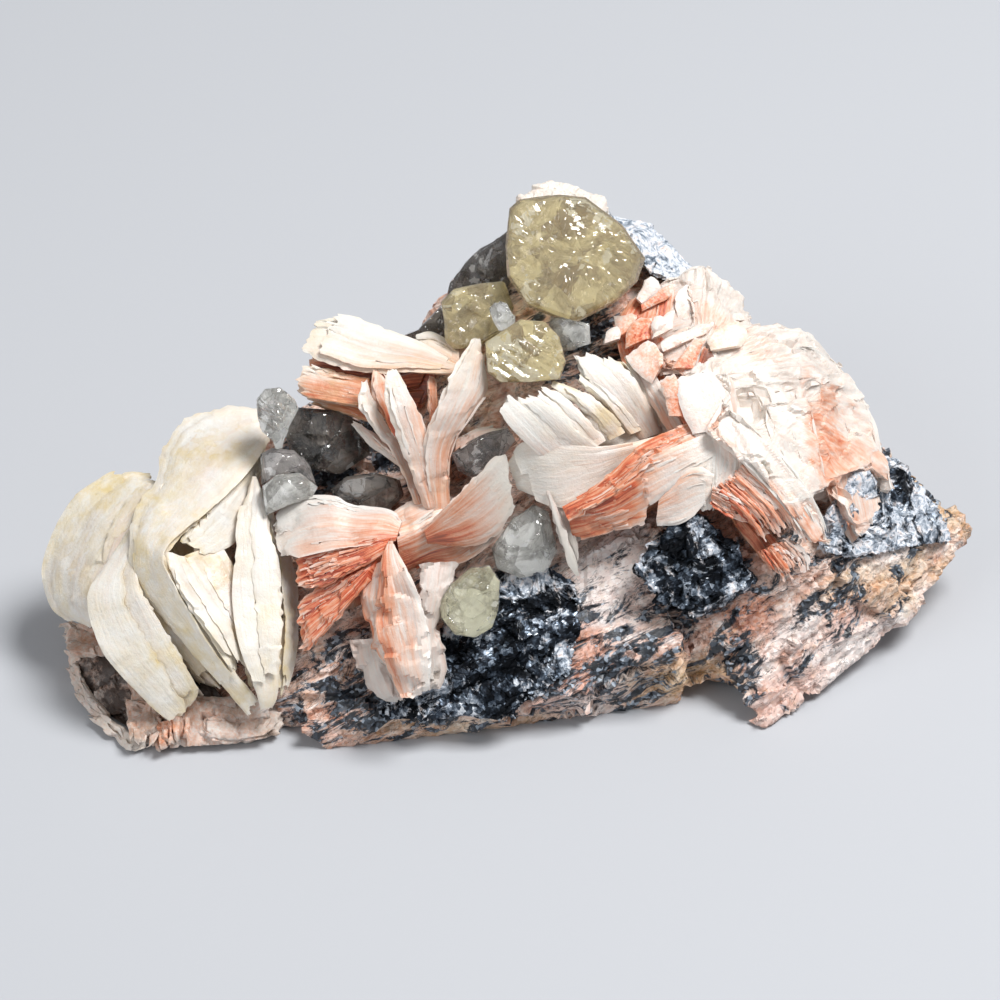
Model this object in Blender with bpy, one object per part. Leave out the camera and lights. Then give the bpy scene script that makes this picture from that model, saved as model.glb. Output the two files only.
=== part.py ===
"""A cabinet specimen of bladed barite with cerussite and galena, as solids at their real size.

The rock lies on its broken underside. Its crystals face forwards and up. Every place is given
as (across, up, near) in millimetres: across and up lie in a plane that leans back by the
viewing tilt, and near stands out of that plane towards the eye. Each group of grown-together
crystals is one solid. It is cut back where it meets the rock or an earlier group.
"""

import math

import bmesh
import bpy
import numpy as np
from mathutils import Vector

# Driving dimensions, in millimetres and degrees
TILT = math.radians(40.0)          # how far above the horizon the crystal face looks
EYE_DISTANCE = 400.0               # from the leaning plane to the eye, which sets the taper with depth
PLANE_HEIGHT = 12.0                # height of the leaning plane's centre over the ground
FOOTPRINT_CENTRE = (1.17, 1.75)    # middle of the footprint, before it is moved to the origin
JOINT_GAP = 0.32                   # clearance left where two solids meet
WELD = 0.0005                      # corners closer than this are one corner
GROUND_SIZE = 200.0                # side of the block that trims what would sink into the ground
MOST_STATIONS = 6                  # most cross-sections along a barite plate
GIRDLE_SHRINK = 0.72               # size of a cerussite's end faces against its girdle
GIRDLE_PLACE = 0.55                # how deep the girdle lies between the front and back faces
MOST_STRETCH = 2.0                 # most that a sharp corner moves out, in gaps, when a solid grows
MM = 0.001

# Colours, as linear red, green and blue, with roughness and metallic
FINISHES = {
    "matrix": ((0.42, 0.25, 0.18), 0.80, 0.0),
    "galena": ((0.10, 0.12, 0.15), 0.35, 0.9),
    "barite_white": ((0.82, 0.76, 0.66), 0.55, 0.0),
    "barite_orange": ((0.78, 0.33, 0.16), 0.55, 0.0),
    "barite_pink": ((0.80, 0.58, 0.48), 0.55, 0.0),
    "cerussite_honey": ((0.55, 0.46, 0.26), 0.12, 0.0),
    "cerussite_clear": ((0.70, 0.70, 0.66), 0.08, 0.0),
    "cerussite_smoky": ((0.12, 0.11, 0.10), 0.08, 0.0),
}

# The three directions of the leaning plane
RIGHT = np.array([1.0, 0.0, 0.0])
UPWARDS = np.array([0.0, math.sin(TILT), math.cos(TILT)])
TOWARDS = np.array([0.0, -math.cos(TILT), math.sin(TILT)])
PLANE_CENTRE = np.array([-FOOTPRINT_CENTRE[0], -FOOTPRINT_CENTRE[1], PLANE_HEIGHT])


def at(across, up, near):
    """A place on the crystal face, in metres: the plane's centre, plus across and up, which
    shrink a little as near brings them towards the eye, plus near."""
    taper = 1.0 - near / EYE_DISTANCE
    return (PLANE_CENTRE + taper * (across * RIGHT + up * UPWARDS) + near * TOWARDS) * MM


def spot(x, y, z):
    """A place given from the ground, in metres: x to the right, y away from the eye, z up."""
    return (np.array([x, y, z]) - np.array([*FOOTPRINT_CENTRE, 0.0])) * MM


def add_object(name, points, faces):
    """A mesh object with its faces pointing outwards."""
    mesh = bpy.data.meshes.new(name)
    mesh.from_pydata([tuple(p) for p in points], [], faces)
    shell = bmesh.new()
    shell.from_mesh(mesh)
    bmesh.ops.recalc_face_normals(shell, faces=shell.faces)
    bmesh.ops.triangulate(shell, faces=shell.faces)
    shell.to_mesh(mesh)
    shell.free()
    obj = bpy.data.objects.new(name, mesh)
    bpy.context.scene.collection.objects.link(obj)
    return obj


def block(name, points):
    """The convex block whose corners are the given points."""
    shell = bmesh.new()
    for point in points:
        shell.verts.new(Vector(point))
    made = bmesh.ops.convex_hull(shell, input=shell.verts)
    spare = {v for v in made["geom_interior"] + made["geom_unused"] if isinstance(v, bmesh.types.BMVert)}
    bmesh.ops.delete(shell, geom=list(spare), context="VERTS")
    bmesh.ops.triangulate(shell, faces=shell.faces)
    bmesh.ops.recalc_face_normals(shell, faces=shell.faces)
    mesh = bpy.data.meshes.new(name)
    shell.to_mesh(mesh)
    shell.free()
    obj = bpy.data.objects.new(name, mesh)
    bpy.context.scene.collection.objects.link(obj)
    return obj


def stations(rail, count):
    """count points evenly spaced along the polyline through the rail's points."""
    corners = np.array([at(*p) for p in rail])
    steps = np.linalg.norm(np.diff(corners, axis=0), axis=1)
    reach = np.concatenate([[0.0], np.cumsum(steps)])
    wanted = np.linspace(0.0, reach[-1], count)
    return np.stack([np.interp(wanted, reach, corners[:, k]) for k in range(3)], axis=1)


def plate(name, left, right, thickness):
    """A barite plate: a slab of even thickness that spans from its left rail to its right rail."""
    count = min(max(len(left), len(right)), MOST_STATIONS)
    a = stations(left, count)
    b = stations(right, count)
    along = np.gradient(a + b, axis=0)
    normal = np.cross(b - a, along)
    normal /= np.linalg.norm(normal, axis=1)[:, None]
    half = 0.5 * thickness * MM * normal
    ring = np.stack([a + half, b + half, b - half, a - half], axis=1).reshape(-1, 3)
    faces = [(0, 1, 2, 3)]
    for row in range(count - 1):
        for side in range(4):
            near_corner, far_corner = 4 * row + side, 4 * row + (side + 1) % 4
            faces.append((near_corner, far_corner, far_corner + 4, near_corner + 4))
    last = 4 * (count - 1)
    faces.append((last + 3, last + 2, last + 1, last))
    return add_object(name, ring, faces)


def crystal(name, outline, front, back):
    """A stubby crystal: its outline is the girdle, and a smaller copy closes it at the front
    and at the back."""
    ring = np.array(outline)
    middle = ring.mean(axis=0)
    small = middle + GIRDLE_SHRINK * (ring - middle)
    girdle = front + GIRDLE_PLACE * (back - front)
    points = [at(x, y, girdle) for x, y in ring]
    points += [at(x, y, front) for x, y in small]
    points += [at(x, y, back) for x, y in small]
    return block(name, points)


def applied(obj):
    """Turns the object's modifiers into its mesh."""
    graph = bpy.context.evaluated_depsgraph_get()
    mesh = bpy.data.meshes.new_from_object(obj.evaluated_get(graph))
    obj.modifiers.clear()
    obj.data = mesh


def combine(obj, other, operation):
    """Joins the other solid to obj, or cuts it away, and removes the other."""
    step = obj.modifiers.new(operation.title(), "BOOLEAN")
    step.operation = operation
    step.solver = "EXACT"
    step.use_self = True
    step.object = other
    applied(obj)
    bpy.data.objects.remove(other)


def keep_main_body(obj):
    """Keeps the connected shell with the largest volume, so no chip or sealed hollow is left."""
    shell = bmesh.new()
    shell.from_mesh(obj.data)
    bmesh.ops.remove_doubles(shell, verts=shell.verts, dist=WELD * MM)
    bmesh.ops.triangulate(shell, faces=shell.faces)
    left = set(shell.faces)
    islands = []
    while left:
        island = {left.pop()}
        edge_of_island = set(island)
        while edge_of_island:
            touching = {n for f in edge_of_island for e in f.edges for n in e.link_faces}
            edge_of_island = touching & left
            left -= edge_of_island
            island |= edge_of_island
        islands.append(island)

    def volume(island):
        corners = [[v.co for v in f.verts] for f in island]
        return abs(sum(a.dot(b.cross(c)) for a, b, c in corners)) / 6.0

    main = max(islands, key=volume)
    bmesh.ops.delete(shell, geom=[f for f in shell.faces if f not in main], context="FACES")
    loose = [v for v in shell.verts if not v.link_faces]
    bmesh.ops.delete(shell, geom=loose, context="VERTS")
    shell.to_mesh(obj.data)
    shell.free()


def grown_copy(obj):
    """A copy whose skin stands out by the gap that is left between two solids."""
    copy = bpy.data.objects.new(obj.name + "_grown", obj.data.copy())
    bpy.context.scene.collection.objects.link(copy)
    shell = bmesh.new()
    shell.from_mesh(copy.data)
    shell.normal_update()
    moves = [v.normal * min(v.calc_shell_factor(), MOST_STRETCH) * JOINT_GAP * MM for v in shell.verts]
    for vert, move in zip(shell.verts, moves):
        vert.co += move
    shell.to_mesh(copy.data)
    shell.free()
    return copy


def reach_of(obj):
    """Lowest and highest corner of an object."""
    corners = np.array([v.co for v in obj.data.vertices])
    return corners.min(axis=0), corners.max(axis=0)


def finish(obj, finish_name):
    """Gives the node its material and trims it at the ground."""
    low, _ = reach_of(obj)
    if low[2] < 0.0:
        ground = block("ground", [
            np.array([x, y, z]) * MM
            for x in (-GROUND_SIZE, GROUND_SIZE)
            for y in (-GROUND_SIZE, GROUND_SIZE)
            for z in (-GROUND_SIZE, 0.0)
        ])
        combine(obj, ground, "DIFFERENCE")
    keep_main_body(obj)
    colour, roughness, metallic = FINISHES[finish_name]
    material = bpy.data.materials.new(obj.name + "_finish")
    material.use_nodes = True
    shader = material.node_tree.nodes["Principled BSDF"]
    shader.inputs["Base Color"].default_value = (*colour, 1.0)
    shader.inputs["Roughness"].default_value = roughness
    shader.inputs["Metallic"].default_value = metallic
    obj.data.materials.clear()
    obj.data.materials.append(material)


placed = []


def place(name, parts, finish_name):
    """Joins the parts into one solid, cuts it back from all that is placed, and finishes it."""
    obj = parts[0]
    obj.name = name
    for part in parts[1:]:
        combine(obj, part, "UNION")
    for neighbour in placed:
        low, high = reach_of(obj)
        other_low, other_high = reach_of(neighbour)
        if np.all(low < other_high + JOINT_GAP * MM) and np.all(other_low < high + JOINT_GAP * MM):
            combine(obj, grown_copy(neighbour), "DIFFERENCE")
    finish(obj, finish_name)
    placed.append(obj)


# The rock: broken blocks of sugary barite and quartz, flat where they rest on the ground

def matrix_rock():
    """The rock that carries everything: broken blocks run together, with a recess under its front."""
    rock = block("left_block", [
        spot(-33, -16, 0), spot(-38, -5, 0), spot(-35, 8, 0), spot(-22, 19, 0), spot(-5, 20, 0),
        spot(-6, -19, 0), spot(-22, -20.5, 0), at(-33, -10, 3), at(-28, -20, 9), at(-16, -21, 11.5),
        at(-20, -8, 9), at(-34, -1, 1), at(-27, 5, -1), at(-12, 8, 1), at(-6, -6, 7),
        spot(-27, 9, 12), spot(-13, 16, 15),
    ])
    middle_block = block("middle_block", [
        spot(-17, -23.6, 0), spot(-4, -21.3, 0), spot(18, -17, 0), spot(22, 23, 0), spot(-12, 24, 0),
        at(-20, -23, 11.5), at(-8, -21, 11.5), at(4, -20, 11), at(18, -15, 11.5), at(14, -6, 9),
        at(-7, -3, 7.5), at(-10, 12, 1), at(0, 18, 0), at(14, 18, 1),
        spot(16, 21, 20), spot(-9, 21, 16),
    ])
    crest = block("crest", [
        at(-3, 22, -1.5), at(2, 27, -1), at(11, 27, -1), at(18, 20, -2), at(-8, 15, 0), at(13, 15, 2),
        spot(3, 25, 24), spot(12, 24, 22), spot(-7, 22, 19), spot(-4, 28, 6), spot(12, 28, 4),
        spot(19, 20, 6), spot(-10, 18, 4),
    ])
    back_foot = block("back_foot", [
        spot(-24, 17, 0), spot(-8, 27, 0), spot(8, 29, 0), spot(23, 24, 0), spot(10, 5, 0),
        spot(-15, 5, 0), spot(-12, 22, 10), spot(4, 26.5, 9), spot(18, 22, 8), spot(0, 12, 14),
    ])
    right_block = block("right_block", [
        at(26.5, -23, 8.4), spot(32, -12, 0), spot(41, 2, 1.5), spot(36, 14, 0), spot(20, 23, 0),
        spot(14, -14, 0), at(34, -17.5, 4.2), at(40.5, -12.3, 1.5), at(47, -3, -3), at(44, 0.2, -4),
        at(39, 5, -3.5), at(31, 12, -3), at(21, 20, -5), at(12, 25, -7), at(18, -6, 10),
        at(26, -8, 11.5), at(33, -6, 9), at(22, 8, 6), at(30, 6, 4),
        spot(24, 20, 14), spot(34, 13, 9),
    ])
    for piece in (middle_block, crest, back_foot, right_block):
        combine(rock, piece, "UNION")
    recess = block("recess", [
        at(17.2, -23.6, 16), at(19.2, -18.8, 16), at(22.6, -18.6, 16), at(26.2, -23.4, 16),
        at(17.0, -21.0, -4), at(19.2, -17.5, -4), at(22.4, -17.3, -4), at(26.0, -20.0, -4),
    ])
    combine(rock, recess, "DIFFERENCE")
    place("matrix_rock", [rock], "matrix")


def galena_masses():
    """Four lead-grey masses of cleavable galena that sit in the rock's broken face."""
    place("galena_centre", [block("galena", [
        at(-12.5, -20.5, 13.2), at(-12, -22.3, 12.4), at(-6, -22.2, 12.6), at(1, -21.8, 12.6),
        at(1.6, -18, 13), at(7, -17.5, 12.4), at(8.3, -13, 12), at(8, -8, 11), at(5, -6.4, 9.8),
        at(0, -7, 11), at(-2, -13, 13), at(-6.5, -17.5, 13.4),
        at(-9, -19, 4), at(2, -19, 4), at(6, -9, 3), at(-1, -10, 3),
    ])], "galena")
    place("galena_right", [block("galena", [
        at(13.5, -6.8, 13.2), at(16, -10.5, 13.2), at(19.3, -12, 13), at(22.5, -9, 13.4),
        at(26, -8, 12.8), at(24.2, -5.2, 13), at(20.2, -1.4, 13.4), at(16.6, -2.4, 13.4),
        at(15, -7, 5), at(24, -8, 5), at(20, -2, 5), at(19, -11, 6),
    ])], "galena")
    place("galena_end", [block("galena", [
        at(36, 5, 4), at(39.6, 4.4, 1.2), at(43.6, 0, -0.5), at(45.2, -4.4, -0.5), at(40, -4.4, 4.4),
        at(35, -6.2, 9), at(31.6, -5.2, 10.4), at(32, -2, 10.8), at(35, 2, 8.4),
        at(36, 3, -3), at(42, -2, -5), at(34, -3, 1),
    ])], "galena")
    place("galena_crust_top", [block("galena", [
        at(10.5, 29, -0.5), at(15, 27.6, -1), at(18, 24.5, -1.5), at(20.2, 23, -2), at(19, 21, 1),
        at(15, 22.4, 3), at(13, 26, 3), at(10, 27, -6), at(18, 22, -7), at(22, 20.5, -4),
    ])], "galena")


# Cerussite: clear to honey-coloured stubby crystals

CERUSSITES = {
    "cerussite_honey_large": ("cerussite_honey", 11.5, -0.5, [
        (0.8, 25), (1.2, 28.8), (2.2, 29.7), (6, 30.2), (8.8, 29.9), (12.5, 27.2), (14.8, 23.8),
        (14, 21.5), (12, 19.5), (7.6, 17.2), (3, 19), (1, 22)]),
    "cerussite_honey_side": ("cerussite_honey", 8.5, 0.5, [
        (-5.7, 19.5), (-4.5, 20.8), (-2, 21.4), (0.6, 21.6), (1.6, 19), (0.5, 16.5), (-2, 15),
        (-4.4, 14.8), (-5.3, 15.6), (-5.4, 17.5)]),
    "cerussite_barrel": ("cerussite_clear", 11.5, 8.9, [
        (-1, 19.2), (0, 19.9), (0.7, 19.7), (1.5, 18.2), (1.2, 17.4), (0, 16.9), (-0.6, 17.8)]),
    "cerussite_ribbed": ("cerussite_honey", 14.0, 6.0, [
        (-1.5, 15.5), (2, 17.8), (4.5, 17.6), (6, 16), (6.6, 13.5), (6, 11.8), (3, 11.5), (0, 11.5),
        (-1.3, 12.5)]),
    "cerussite_grey_small": ("cerussite_clear", 10.8, 5.0, [
        (4.8, 17.8), (6, 18.5), (9, 17.6), (9.2, 15.6), (7.5, 15), (6.2, 15), (5.5, 16)]),
    "cerussite_heart_twin": ("cerussite_clear", 12.5, 9.0, [
        (-24.3, 10), (-23.5, 11), (-22, 11.2), (-20.5, 10), (-20.2, 9), (-21, 7.5), (-21.6, 6),
        (-21.8, 5.2), (-22.4, 5.1), (-22.7, 6), (-23.8, 6.8), (-24.2, 8)]),
    "cerussite_smoky_back": ("cerussite_smoky", 8.6, 0.0, [
        (-22.0, 7.5), (-20, 9.2), (-16, 9.0), (-13.5, 7.5), (-13.0, 4.5), (-16, 2.6), (-20, 3.2)]),
    "cerussite_smoky_front": ("cerussite_smoky", 10.5, 2.0, [
        (-17, 1), (-15.5, 2.2), (-12.5, 2.7), (-10, 2), (-9.6, 0.5), (-11, -1), (-14, -0.8), (-16.5, 0)]),
    "cerussite_smoky_left": ("cerussite_smoky", 11.0, 3.5, [
        (-23.9, 4.6), (-22.8, 5.2), (-20.6, 5), (-19, 3.6), (-18.3, 1.4), (-20.5, 2.9), (-22.5, 2.4),
        (-23.8, 1.6)]),
    "cerussite_pale_lens": ("cerussite_clear", 13.0, 6.0, [
        (-23.8, 1.4), (-22.2, 2.6), (-20, 2.7), (-18.2, 1.3), (-18.8, 0.2), (-21.5, -0.7),
        (-23.5, -1.6)]),
    "cerussite_smoky_middle": ("cerussite_smoky", 9.5, 2.0, [
        (-4.9, 4.5), (-3.8, 5.8), (-1, 6.8), (0.8, 7.2), (1.5, 6), (0, 4), (-2.8, 2.2), (-4.2, 3)]),
    "cerussite_honey_low": ("cerussite_honey", 15.0, 7.0, [
        (-6, -10), (-5, -8.5), (-3, -6.8), (-1, -6.5), (0, -8), (-0.2, -11), (-0.8, -12.8),
        (-2.5, -13.8), (-4.5, -13.5), (-5.8, -12)]),
    "cerussite_grey_low": ("cerussite_clear", 12.8, 5.0, [
        (-1, -4.5), (0.5, -2), (3, -0.2), (5, -1), (6, -4.5), (5.5, -7), (2, -8), (0, -7.5), (-1, -6)]),
    "cerussite_dark_top": ("cerussite_smoky", 1.5, -7.5, [
        (-5.4, 20), (-5, 21.7), (-3.5, 23.8), (-2, 25.2), (0, 26.2), (1.2, 27.2), (2.4, 24),
        (0, 20), (-3, 19)]),
    "cerussite_dark_side": ("cerussite_smoky", 3.5, -4.5, [
        (-9.6, 16.5), (-8.2, 17), (-6.6, 18.8), (-5.6, 19.8), (-5, 18), (-5, 15.8), (-7, 15.4),
        (-9, 15.8)]),
}


def cerussites():
    """Each cerussite is a crystal of its own."""
    for name, (finish_name, front, back, outline) in CERUSSITES.items():
        place(name, [crystal(name, outline, front, back)], finish_name)


# Barite: each plate is (left rail, right rail, thickness), from its root or lower end

BARITE = {
    "barite_rosette_under": ("barite_pink", [
        ([(-40.5, -12.5, 3), (-43, -12.2, 2), (-44.2, -13.5, 1)],
         [(-39.5, -15.4, 5), (-42, -15.6, 4), (-43.4, -15.2, 3)], 2.4),
        ([(-43.2, -15.2, 0.5), (-43.1, -17.2, 2), (-42.2, -19.8, 5), (-40, -22.2, 7.8),
          (-37.5, -24.2, 9.8), (-35.7, -25.5, 11.2)],
         [(-41.0, -15.5, 2.5), (-41, -17.2, 4), (-40.2, -19.2, 6.5), (-38.2, -21.2, 9),
          (-36.4, -23, 11), (-35, -24.2, 12)], 1.8),
        ([(-37, -19.5, 8), (-37, -22.5, 9.8), (-35.8, -25.7, 11.4)],
         [(-33.5, -19.5, 9.5), (-34, -23, 11), (-34.5, -25.2, 11.8)], 2.6),
        ([(-34.8, -22.5, 10), (-34.2, -25.7, 11.2)], [(-31, -21.8, 10), (-31, -25.6, 11.4)], 3.2),
        ([(-38, -16.5, 6), (-31, -20, 9), (-20.6, -20, 9)],
         [(-36, -21, 9), (-29, -24, 10.6), (-21.5, -23.3, 10.4)], 3.4),
        ([(-41, -14, 3), (-36, -17, 6)], [(-39, -19, 5), (-35, -22, 9)], 3.0),
    ]),
    "barite_shell_far_left": ("barite_white", [
        ([(-41, -12.5, 7), (-44.2, -11.2, 6), (-45.4, -8, 5), (-44.8, -4.5, 4.2), (-42.5, -0.2, 3.5),
          (-39.2, 2.2, 2.8), (-37, 3.2, 2.2), (-34.5, 3, 2)],
         [(-40, -12.2, 9), (-40.5, -9.5, 9.5), (-39.2, -6.5, 9.5), (-36.5, -3, 8.5), (-35, 0, 7),
          (-34, 2, 5)], 2.0),
        ([(-40, -10, 9.5), (-39.5, -6, 9.3), (-38.8, -3, 8), (-36.5, 0.5, 6.5), (-34.6, 2.2, 5)],
         [(-38.5, -8, 10), (-37.5, -5, 10), (-36, -2.5, 9.6), (-34, 0.5, 8.5), (-32.5, 1.5, 7)], 1.4),
        ([(-40, -9, 6.5), (-33, -1, 3.5)], [(-38, -12.5, 7.5), (-31, -6, 5)], 4.0),
    ]),
    "barite_shell_large": ("barite_white", [
        ([(-24.2, 9.2, 3), (-27.5, 9.4, 3), (-31, 8.2, 4), (-33.5, 5.5, 5), (-34.3, 2, 7),
          (-36, -0.5, 9), (-37, -4, 11), (-36.7, -7.8, 12), (-33.5, -12, 13), (-29.5, -16.8, 13.5),
          (-25, -22.2, 13)],
         [(-23, 6, 6), (-24.5, 3.8, 8), (-26.5, 1.5, 10), (-29, -1, 12), (-31.5, -3, 13.5),
          (-33.2, -4.8, 14.5), (-33.4, -6.2, 15), (-32, -9.2, 15), (-29.5, -13.2, 15),
          (-26.5, -17.4, 14.5), (-24, -20.2, 13.5)], 1.8),
        ([(-23.8, 5, 6), (-26.5, 1.5, 9), (-29.5, -1.5, 11.5), (-32, -4.5, 13)],
         [(-25, 2, 2), (-25.8, -2, 3), (-26.8, -5, 5), (-30.8, -6.2, 11)], 1.6),
        ([(-33.5, -5.2, 14.5), (-32, -9, 15.6), (-29.4, -13, 15.6), (-26.4, -17.4, 15)],
         [(-31.2, -6, 13), (-29.5, -9, 13.5), (-27.2, -13.2, 14), (-25.7, -18.2, 14)], 1.4),
        ([(-30.8, -6, 12.5), (-29, -9.2, 13.2), (-27, -13.6, 13.6)],
         [(-29.4, -5, 11), (-27.4, -8, 11.5), (-26.4, -14, 12)], 1.2),
        ([(-35, -0.7, 8), (-36.7, -2.7, 9), (-38.7, -6, 10), (-40.5, -9, 11), (-40.7, -11.2, 11.5),
          (-39.3, -15.2, 12.5), (-36, -19, 12.5), (-33.5, -21.4, 12), (-31.9, -22.2, 11.5)],
         [(-34.2, -0.7, 9.5), (-35.5, -3.5, 11), (-36.7, -6, 12), (-37, -8.3, 13), (-36, -10.5, 14),
          (-34, -14.3, 14), (-31.8, -18, 13.5), (-30.6, -19.2, 12.5), (-31.2, -20.8, 12)], 1.8),
        ([(-36.2, -8.8, 12.5), (-33.5, -13, 12.5), (-30.5, -16.8, 12), (-27.8, -19.5, 11)],
         [(-35.5, -10, 10), (-33.5, -14, 9), (-31, -17.5, 8), (-29, -19, 7.5)], 2.4),
        ([(-34, -4, 9), (-30, -12, 9)], [(-28, 0, 4), (-26, -10, 5)], 6.0),
    ]),
    "barite_shell_upright": ("barite_white", [
        ([(-24.8, 2.3, 9.5), (-25.6, -0.2, 10), (-26.2, -2, 11), (-26.4, -6, 12.5), (-26.6, -10, 13.5),
          (-26, -14.5, 14.5), (-24.6, -18.5, 14.5), (-23.7, -21.6, 13.5)],
         [(-24.3, 2.3, 9.5), (-23.4, -0.2, 10), (-23, -2.5, 11), (-22.2, -6.5, 12.5),
          (-21.8, -12, 13.5), (-22, -16.5, 14), (-22.3, -20, 13.5), (-23, -21.7, 13)], 1.6),
        ([(-23.4, -1.2, 9.5), (-22.2, -6, 11), (-21.7, -12, 12.2), (-22.1, -19, 12.5)],
         [(-22.8, -1.4, 8.5), (-20.8, -6, 9.5), (-20.2, -11, 10.5), (-20.6, -16, 11),
          (-21.7, -20, 12)], 1.4),
        ([(-26, -4, 9.5), (-25, -18, 12)], [(-21.5, -4, 8.8), (-22, -18, 11.2)], 4.4),
    ]),
    "barite_bundle_upper_left": ("barite_white", [
        ([(-4.2, 13.2, 9), (-7.5, 15.2, 7), (-11.5, 16.7, 6), (-16, 18.4, 5), (-18.6, 18.7, 5)],
         [(-4.5, 12.7, 10), (-9, 12.9, 10), (-13.5, 12.9, 9.5), (-17, 13.7, 9), (-20.4, 14.4, 8)], 1.5),
        ([(-12.5, 12, 8.5), (-16.5, 12.8, 8), (-20, 14, 7.5)],
         [(-13, 9.4, 9.5), (-17, 9.9, 9), (-21.2, 10.6, 8)], 1.8),
        ([(-12.5, 10.5, 7), (-17, 10.6, 6.4), (-20.6, 10.9, 6)],
         [(-12.5, 7.5, 7.5), (-15.5, 8.6, 7), (-19.5, 9.4, 6.4)], 1.6),
        ([(-4.2, 14.8, 6), (-6.8, 16.5, 5), (-9.6, 15.9, 5)],
         [(-4, 12.8, 8), (-6, 13.8, 7), (-9, 14.8, 6)], 1.4),
        ([(-6, 13.5, 6), (-12, 13, 5)], [(-8, 9, 5), (-13, 8.5, 4)], 4.5),
    ]),
    "barite_fan_middle": ("barite_pink", [
        ([(-7.5, 1.7, 10.5), (-10.5, 3.7, 10), (-12.8, 5.3, 9.5), (-15.3, 7.8, 9)],
         [(-8, 2.6, 10), (-9.8, 4.3, 9), (-12, 6.2, 8.5), (-15, 8.3, 8.3)], 0.9),
        ([(-8.5, 2.2, 11), (-10.7, 4.5, 11.5), (-12.8, 7.5, 12), (-14.1, 9.8, 12), (-13.9, 12, 11.5)],
         [(-7.2, 2.2, 10.5), (-9.2, 4.5, 10.5), (-10.8, 7, 11), (-12.4, 10, 11), (-13, 12.4, 10.8)], 1.1),
        ([(-9.8, 5, 10), (-11.7, 8.5, 10.5), (-12.8, 11.2, 10.5), (-12.7, 13.2, 10)],
         [(-8.8, 5, 9.5), (-10.3, 8.5, 9.5), (-11, 11.2, 9.5), (-11.7, 13.4, 9.5)], 1.0),
        ([(-7.2, 1.5, 12), (-9.6, 4.5, 13), (-10.9, 8, 14), (-11.6, 11.2, 14), (-11.4, 13.3, 13.5)],
         [(-5.5, 1.5, 11.5), (-7, 5, 12.5), (-8, 8.5, 13), (-9.2, 11.5, 13.2), (-10, 13.5, 13)], 1.3),
        ([(-6.8, 6, 10), (-7.2, 10, 9.5), (-7.3, 12.6, 9)],
         [(-6, 6, 9.5), (-6.2, 10, 9), (-6.4, 12.7, 8.5)], 0.9),
        ([(-7.2, 0.2, 11.5), (-7.6, 5, 13), (-6.2, 9.5, 14), (-4.2, 13.8, 13.5), (-2.8, 16.4, 12.5)],
         [(-4.4, 0.5, 10.5), (-4.8, 4.8, 11.5), (-2.5, 8.8, 11.5), (-1.1, 11.5, 11), (-1.9, 16.4, 12)], 1.5),
        ([(-4.4, 6, 9.5), (-2, 7.2, 8), (0.8, 7.3, 7)],
         [(-4.5, 4.8, 9.5), (-2, 6.2, 8.5), (0.4, 6.6, 7.4)], 0.8),
        ([(-8.8, -0.5, 9.4), (-9, 8, 8.6)], [(-3.6, -0.5, 8.6), (-3.4, 8, 7.8)], 4.4),
    ]),
    "barite_bow_tie": ("barite_orange", [
        ([(-9.8, -2, 13), (-11.2, -1.1, 12.5), (-14.8, -0.6, 12), (-17, 0.3, 12), (-20.2, -0.1, 11),
          (-23.2, -1.9, 10)],
         [(-10.4, -4, 14), (-13, -4.5, 14.5), (-16.5, -4.9, 14.5), (-20, -5.6, 14), (-22.3, -6.2, 13)], 1.2),
        ([(-10.8, -3.6, 14), (-15.5, -4.6, 14), (-21.6, -6, 13)],
         [(-11.6, -5.3, 15), (-16, -7.7, 15.2), (-20.7, -9.6, 14)], 1.4),
        ([(-11.8, -5.2, 14), (-16, -7.8, 14), (-20.4, -9.8, 13)],
         [(-13.2, -8, 15), (-16.5, -12, 15), (-20.7, -16.8, 13.5)], 1.6),
        ([(-10.8, -1.1, 10.5), (-9, 0, 10), (-7.2, 0.3, 10), (-5.4, -0.2, 10)],
         [(-10, -3.5, 13), (-8, -2.8, 12.5), (-5.4, -1.2, 12)], 1.2),
        ([(-10.3, -3.8, 14), (-7.8, -2.7, 14.5), (-5.3, -0.6, 14.5), (-2.2, 2.6, 14), (0.5, 4.7, 13)],
         [(-9.8, -7.4, 12), (-6.8, -6.2, 12), (-3.8, -6, 11.5), (-0.5, -3.6, 11), (1.3, -1.2, 11)], 1.2),
        ([(-8.5, -2, 10), (-12, -10, 10)], [(-13, -2, 9), (-18, -12, 9)], 4.0),
    ]),
    "barite_folded_blades": ("barite_pink", [
        ([(-11.3, -4.4, 14.5), (-12, -8, 15.5), (-12.3, -12, 16), (-11.4, -15.5, 16), (-9.8, -20, 15)],
         [(-10.7, -4.5, 14.5), (-8.8, -8, 16.5), (-7.6, -12, 17), (-7, -16, 16.5), (-6.6, -19.4, 15.2)], 1.8),
        ([(-8, -6.5, 13), (-7.9, -10, 14.5), (-8.2, -14, 15.5), (-7.5, -19.2, 15)],
         [(-4.1, -6, 11.5), (-5.1, -9, 12.5), (-6, -13, 13.5), (-5.1, -16.7, 13.5), (-6, -19.2, 14)], 1.4),
        ([(-14.9, -14, 13), (-14, -17.2, 13.5), (-12.5, -19.7, 13.5), (-10.4, -20.5, 13.5)],
         [(-11.9, -13.8, 14.5), (-10.6, -16.2, 15.2), (-9.8, -18.5, 15.5), (-9.3, -20.3, 14.8)], 1.2),
        ([(-13.5, -7.2, 13.5), (-13.9, -10, 14), (-13, -13.2, 14.5), (-10.8, -16.5, 15)],
         [(-11.5, -6, 14.5), (-12, -10, 15.5), (-11.6, -14, 16), (-10, -17, 16)], 1.2),
        ([(-9, -8, 12), (-9.5, -18, 13)], [(-12.5, -9, 12), (-11.5, -18, 13)], 2.4),
    ]),
    "barite_comb_white": ("barite_white", [
        ([(16, 6.4, 11), (10, 5.2, 13.5), (4.5, 5.8, 14), (2, 5.4, 13), (0.6, 3.5, 12.5)],
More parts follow.
